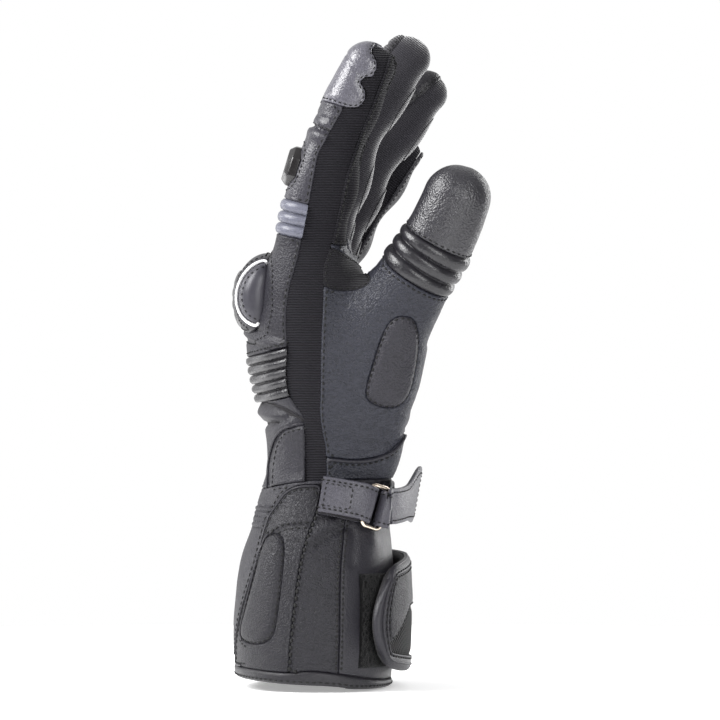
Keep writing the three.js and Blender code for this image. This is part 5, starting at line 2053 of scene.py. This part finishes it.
# guard: bright piping at both ends, a dotted row inside it, and its foot on the hand
for name in ("guard_end_thumb", "guard_end_little"):
    sew("silver", name, 0.35, lambda p: (p[:, 0] < -22) & (end_round(p) > 0.85), lift=0.9)
    sew("guard", name, 0.8, None, end_round, 0.1)
sew("guard", "guard_base", 1.6)
sew("guard", "back_panel", 2.2, None, guard_field)
# flap
sew("cuff", "cuff_flap", 1.3, lambda p: p[:, 0] > 20)
sew("cuff", "flap_leather", 1.2)
for level, lift in ((0.5, 0.3), (3.8, 0.1)):
    sew("fine_piping", "cuff_flap", level, lift=lift)
# the strap's two sewn edges, and the box on its anchor
for (path, across, up, half), face in ((strap_path, -1), (anchor_path, 1)):
    for side in (-0.78, 0.78):
        chain = np.c_[path + across * (side * half)[:, None] + up * 0.98 * face, up * face]
        seams["strap"].append(chain)
path, across, up, half = anchor_path
# millimetres in from the anchor's end, and share of its half width, of the box's corners
BOX = [(2, -0.62), (2, 0.62), (14, 0.62), (14, -0.62), (2, -0.62)]
corners = []
for reach, share in BOX:
    i = max(0, len(path) - 1 - int(reach / FINE_STEP))
    corners.append(np.r_[path[i] + across[i] * share * half[i] + up[i], up[i]])
corners = np.array(corners)
steps = np.linspace(0, len(BOX) - 1, 60)
seams["strap"].append(np.array([np.interp(steps, range(len(BOX)), column) for column in corners.T]).T)
print({k: len(v) for k, v in seams.items()})

# %% [markdown]
# ## Stitches by Geometry Nodes
# One node tree sews everything. It turns the lines into curves, steps along them at the stitch pitch, and
# sets a small oval of thread at each step, long way along the line and flat on the leather. The instances
# are realized at the end, so that the result is a plain mesh. A second tree sweeps a round cord for piping.

# %% Trees for stitches and piping


def tree_of(name, inputs):
    tree = bpy.data.node_groups.new(name, "GeometryNodeTree")
    tree.interface.new_socket("Geometry", in_out="INPUT", socket_type="NodeSocketGeometry")
    for label, value in inputs.items():
        kind = "NodeSocketMaterial" if value is None else "NodeSocketFloat"
        socket = tree.interface.new_socket(label, in_out="INPUT", socket_type=kind)
        if value is not None:
            socket.default_value = value
    tree.interface.new_socket("Geometry", in_out="OUTPUT", socket_type="NodeSocketGeometry")
    return tree, tree.nodes.new("NodeGroupInput"), tree.nodes.new("NodeGroupOutput")


def add_node(tree, kind, inputs=(), **settings):
    node = tree.nodes.new(kind)
    for key, value in settings.items():
        setattr(node, key, value)
    for key, value in dict(inputs).items():
        if isinstance(value, bpy.types.NodeSocket):
            tree.links.new(value, node.inputs[key])
        else:
            node.inputs[key].default_value = value
    return node


def stepped(tree, given, step):
    """The edges of the given mesh as curves, with points one step apart."""
    curve = add_node(tree, "GeometryNodeMeshToCurve", {"Mesh": given.outputs["Geometry"]})
    wanted = {"Curve": curve.outputs[0], "Length": given.outputs[step]}
    return add_node(tree, "GeometryNodeResampleCurve", wanted, mode="LENGTH")


def finished(tree, given, result, made):
    """Makes instances real, shades them smooth, gives them the material and hands them on."""
    real = add_node(tree, "GeometryNodeRealizeInstances", {"Geometry": made.outputs[0]})
    smooth = add_node(tree, "GeometryNodeSetShadeSmooth", {"Geometry": real.outputs[0]})
    coat = {"Geometry": smooth.outputs[0], "Material": given.outputs["Material"]}
    final = add_node(tree, "GeometryNodeSetMaterial", coat)
    tree.links.new(final.outputs[0], result.inputs[0])
    return tree


def stitch_tree():
    """Stitches: one small oval at each step of a seam, turned along it."""
    wanted = {"Pitch": 0.003, "Length": 0.0022, "Width": 0.0006, "Material": None}
    tree, given, result = tree_of("stitches", wanted)
    points = stepped(tree, given, "Pitch")
    ball = add_node(tree, "GeometryNodeMeshUVSphere", {"Segments": 6, "Rings": 4, "Radius": 0.5})
    thick = add_node(tree, "ShaderNodeMath", {0: given.outputs["Width"], 1: 0.8}, operation="MULTIPLY")
    sizes = {0: given.outputs["Length"], 1: given.outputs["Width"], 2: thick.outputs[0]}
    size = add_node(tree, "ShaderNodeCombineXYZ", sizes)
    oval = add_node(tree, "GeometryNodeTransform", {"Geometry": ball.outputs[0], "Scale": size.outputs[0]})
    along = add_node(tree, "GeometryNodeInputTangent")
    out = add_node(tree, "GeometryNodeInputNamedAttribute", {"Name": "out"}, data_type="FLOAT_VECTOR")
    turn = add_node(
        tree,
        "FunctionNodeAxesToRotation",
        {"Primary Axis": along.outputs[0], "Secondary Axis": out.outputs[0]},
        primary_axis="X",
        secondary_axis="Z",
    )
    sewn = add_node(
        tree,
        "GeometryNodeInstanceOnPoints",
        {"Points": points.outputs[0], "Instance": oval.outputs[0], "Rotation": turn.outputs[0]},
    )
    return finished(tree, given, result, sewn)


def cord_tree():
    """A piped cord: a round section swept along a seam."""
    tree, given, result = tree_of("piping", {"Radius": 0.0006, "Step": 0.0009, "Material": None})
    even_curve = stepped(tree, given, "Step")
    ring = add_node(
        tree, "GeometryNodeCurvePrimitiveCircle", {"Resolution": 8, "Radius": given.outputs["Radius"]}
    )
    cord = add_node(
        tree,
        "GeometryNodeCurveToMesh",
        {"Curve": even_curve.outputs[0], "Profile Curve": ring.outputs[0], "Fill Caps": True},
    )
    return finished(tree, given, result, cord)


print("two trees to grow stitches and cords")

# %% [markdown]
# ## Growing them
# The lines become a bare mesh of edges that carries the way out, a tree grows on it as a modifier, and the
# grown mesh is kept in its place. Each group has its own pitch, stitch length and thread.

# %% Grown stitches and cords


def grown(name, chains, tree, **values):
    """A piece grown by a tree along chains of (place, way out)."""
    points, edges, outs = [], [], []
    for chain in chains:
        first = len(points)
        points += (chain[:, :3] * MM).tolist()
        outs += chain[:, 3:6].tolist()
        edges += [(first + i, first + i + 1) for i in range(len(chain) - 1)]
    mesh = bpy.data.meshes.new(name)
    mesh.from_pydata(points, edges, [])
    ways_out = mesh.attributes.new("out", "FLOAT_VECTOR", "POINT")
    ways_out.data.foreach_set("vector", np.array(outs, np.float32).ravel())
    obj = add_object(name, mesh)
    grower = obj.modifiers.new("grow", "NODES")
    grower.node_group = tree
    for item in tree.interface.items_tree:
        if item.in_out == "INPUT" and item.name in values:
            grower[item.identifier] = values[item.name]
    own_mesh(obj)
    pieces[name] = (obj, ())
    return len(obj.data.polygons)


sewing, cording = stitch_tree(), cord_tree()
SEWN = {
    "hand": (3.0, 1.9, 0.8),
    "palm": (2.8, 1.9, 0.95),
    "fingers": (2.5, 1.6, 0.7),
    "cuff": (3.0, 2.0, 0.85),
    "double": (2.4, 1.6, 1.15),
    "zigzag": (3.2, 2.5, 1.5),
    "guard": (2.6, 1.5, 0.8),
    "strap": (2.5, 1.7, 0.8),
}
for group, (pitch, length, width) in SEWN.items():
    values = {"Pitch": pitch * MM, "Length": length * MM, "Width": width * MM, "Material": finishes["thread"]}
    print("stitches_" + group, grown("stitches_" + group, seams[group], sewing, **values), "faces")
CORDS = {"piping": (0.75, "leather"), "silver": (0.75, "silver"), "fine_piping": (0.5, "dark_leather")}
for group, (radius, finish) in CORDS.items():
    values = {"Radius": radius * MM, "Step": 0.9 * MM, "Material": finishes[finish]}
    print(group, grown("cord_" + group, seams[group], cording, **values), "faces")

# %% [markdown]
# ## Floor and light
# The photograph has a white surrounding that lights the leather softly from all sides. A surrounding that
# is brighter overhead than at eye level shapes the folds, and lamps give the leather its shine: a large one
# from the upper left, a broad one low on the right, and two from behind that draw bright edges.

# %% Floor and light
bpy.context.scene.view_settings.view_transform = "Standard"
world = bpy.data.worlds.new("white_studio")
world.use_nodes = True
bpy.context.scene.world = world
sky = world.node_tree
background = sky.nodes["Background"]
background.inputs["Color"].default_value = (1, 1, 1, 1)
direction = Sum(sky, sky.nodes.new("ShaderNodeTexCoord").outputs["Generated"])
parts = sky.nodes.new("ShaderNodeSeparateXYZ")
sky.links.new(direction.socket, parts.inputs[0])
overhead = Sum(sky, parts.outputs[2]).math("MAXIMUM", 0.0)
behind = Sum(sky, parts.outputs[1]).between(-0.3, 0.9)
lit = overhead * 0.3 + behind * 0.55 + 0.15
seen_plain = Sum(sky, sky.nodes.new("ShaderNodeLightPath").outputs["Is Camera Ray"])
strength = lit + seen_plain * (1 - lit)
sky.links.new(strength.socket, background.inputs["Strength"])

turns = np.linspace(0, math.tau, 64, endpoint=False)
floor = mesh_piece(
    "floor", np.c_[600 * np.cos(turns) + 15, 600 * np.sin(turns), np.full(64, -0.4)], [range(64)], []
)
pale = Finish("pale_floor", Roughness=0.9)
pale.shader.inputs["Emission Color"].default_value = (1, 1, 1, 1)
pale.shader.inputs["Emission Strength"].default_value = 0.35
pale.join(pale.mix(pale.noise(40.0), (0.96, 0.96, 0.96, 1), (0.98, 0.98, 0.98, 1)), "Base Color")
floor.data.materials.append(pale.material)


def lamp(name, place, size, power, target=(15, 0, 150)):
    light = bpy.data.lights.new(name, "AREA")
    light.shape = "RECTANGLE"
    light.size, light.size_y = (s * MM for s in size)
    light.energy = power
    obj = add_object(name, light)
    obj.location = Vector(place) * MM
    obj.rotation_euler = (Vector(target) - Vector(place)).to_track_quat("-Z", "Y").to_euler()


lamp("key", (-900, -330, 880), (700, 800), 25, (20, 0, 230))
lamp("fill", (500, -1300, 500), (500, 900), 11)
lamp("rim_left", (-900, 600, 200), (200, 900), 3)
lamp("rim_right", (800, 900, 400), (200, 1000), 5)
print("four lamps")

# %% [markdown]
# ## Into the frame
# Every piece rides on the glove's one body and stands for the CAD solids it was made from.

# %% Ride, replace and count triangles
PADS = {"palm_pad": 0.6, "cuff_pad": 0.6, "cuff_flap": 0.5, "back_ribs": 0.6, "thumb_ribs": 0.6}
PADS |= {f"{name}_ribs": 0.6 for name in FINGERS}
for name, (obj, nodes) in pieces.items():
    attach(obj, "root")
    if nodes:
        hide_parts(*nodes)
    name in PADS
triangles = {name: sum(len(p.vertices) - 2 for p in obj.data.polygons) for name, (obj, _) in pieces.items()}
print("triangles", sum(triangles.values()), "most", sorted(triangles.items(), key=lambda t: -t[1])[:5])
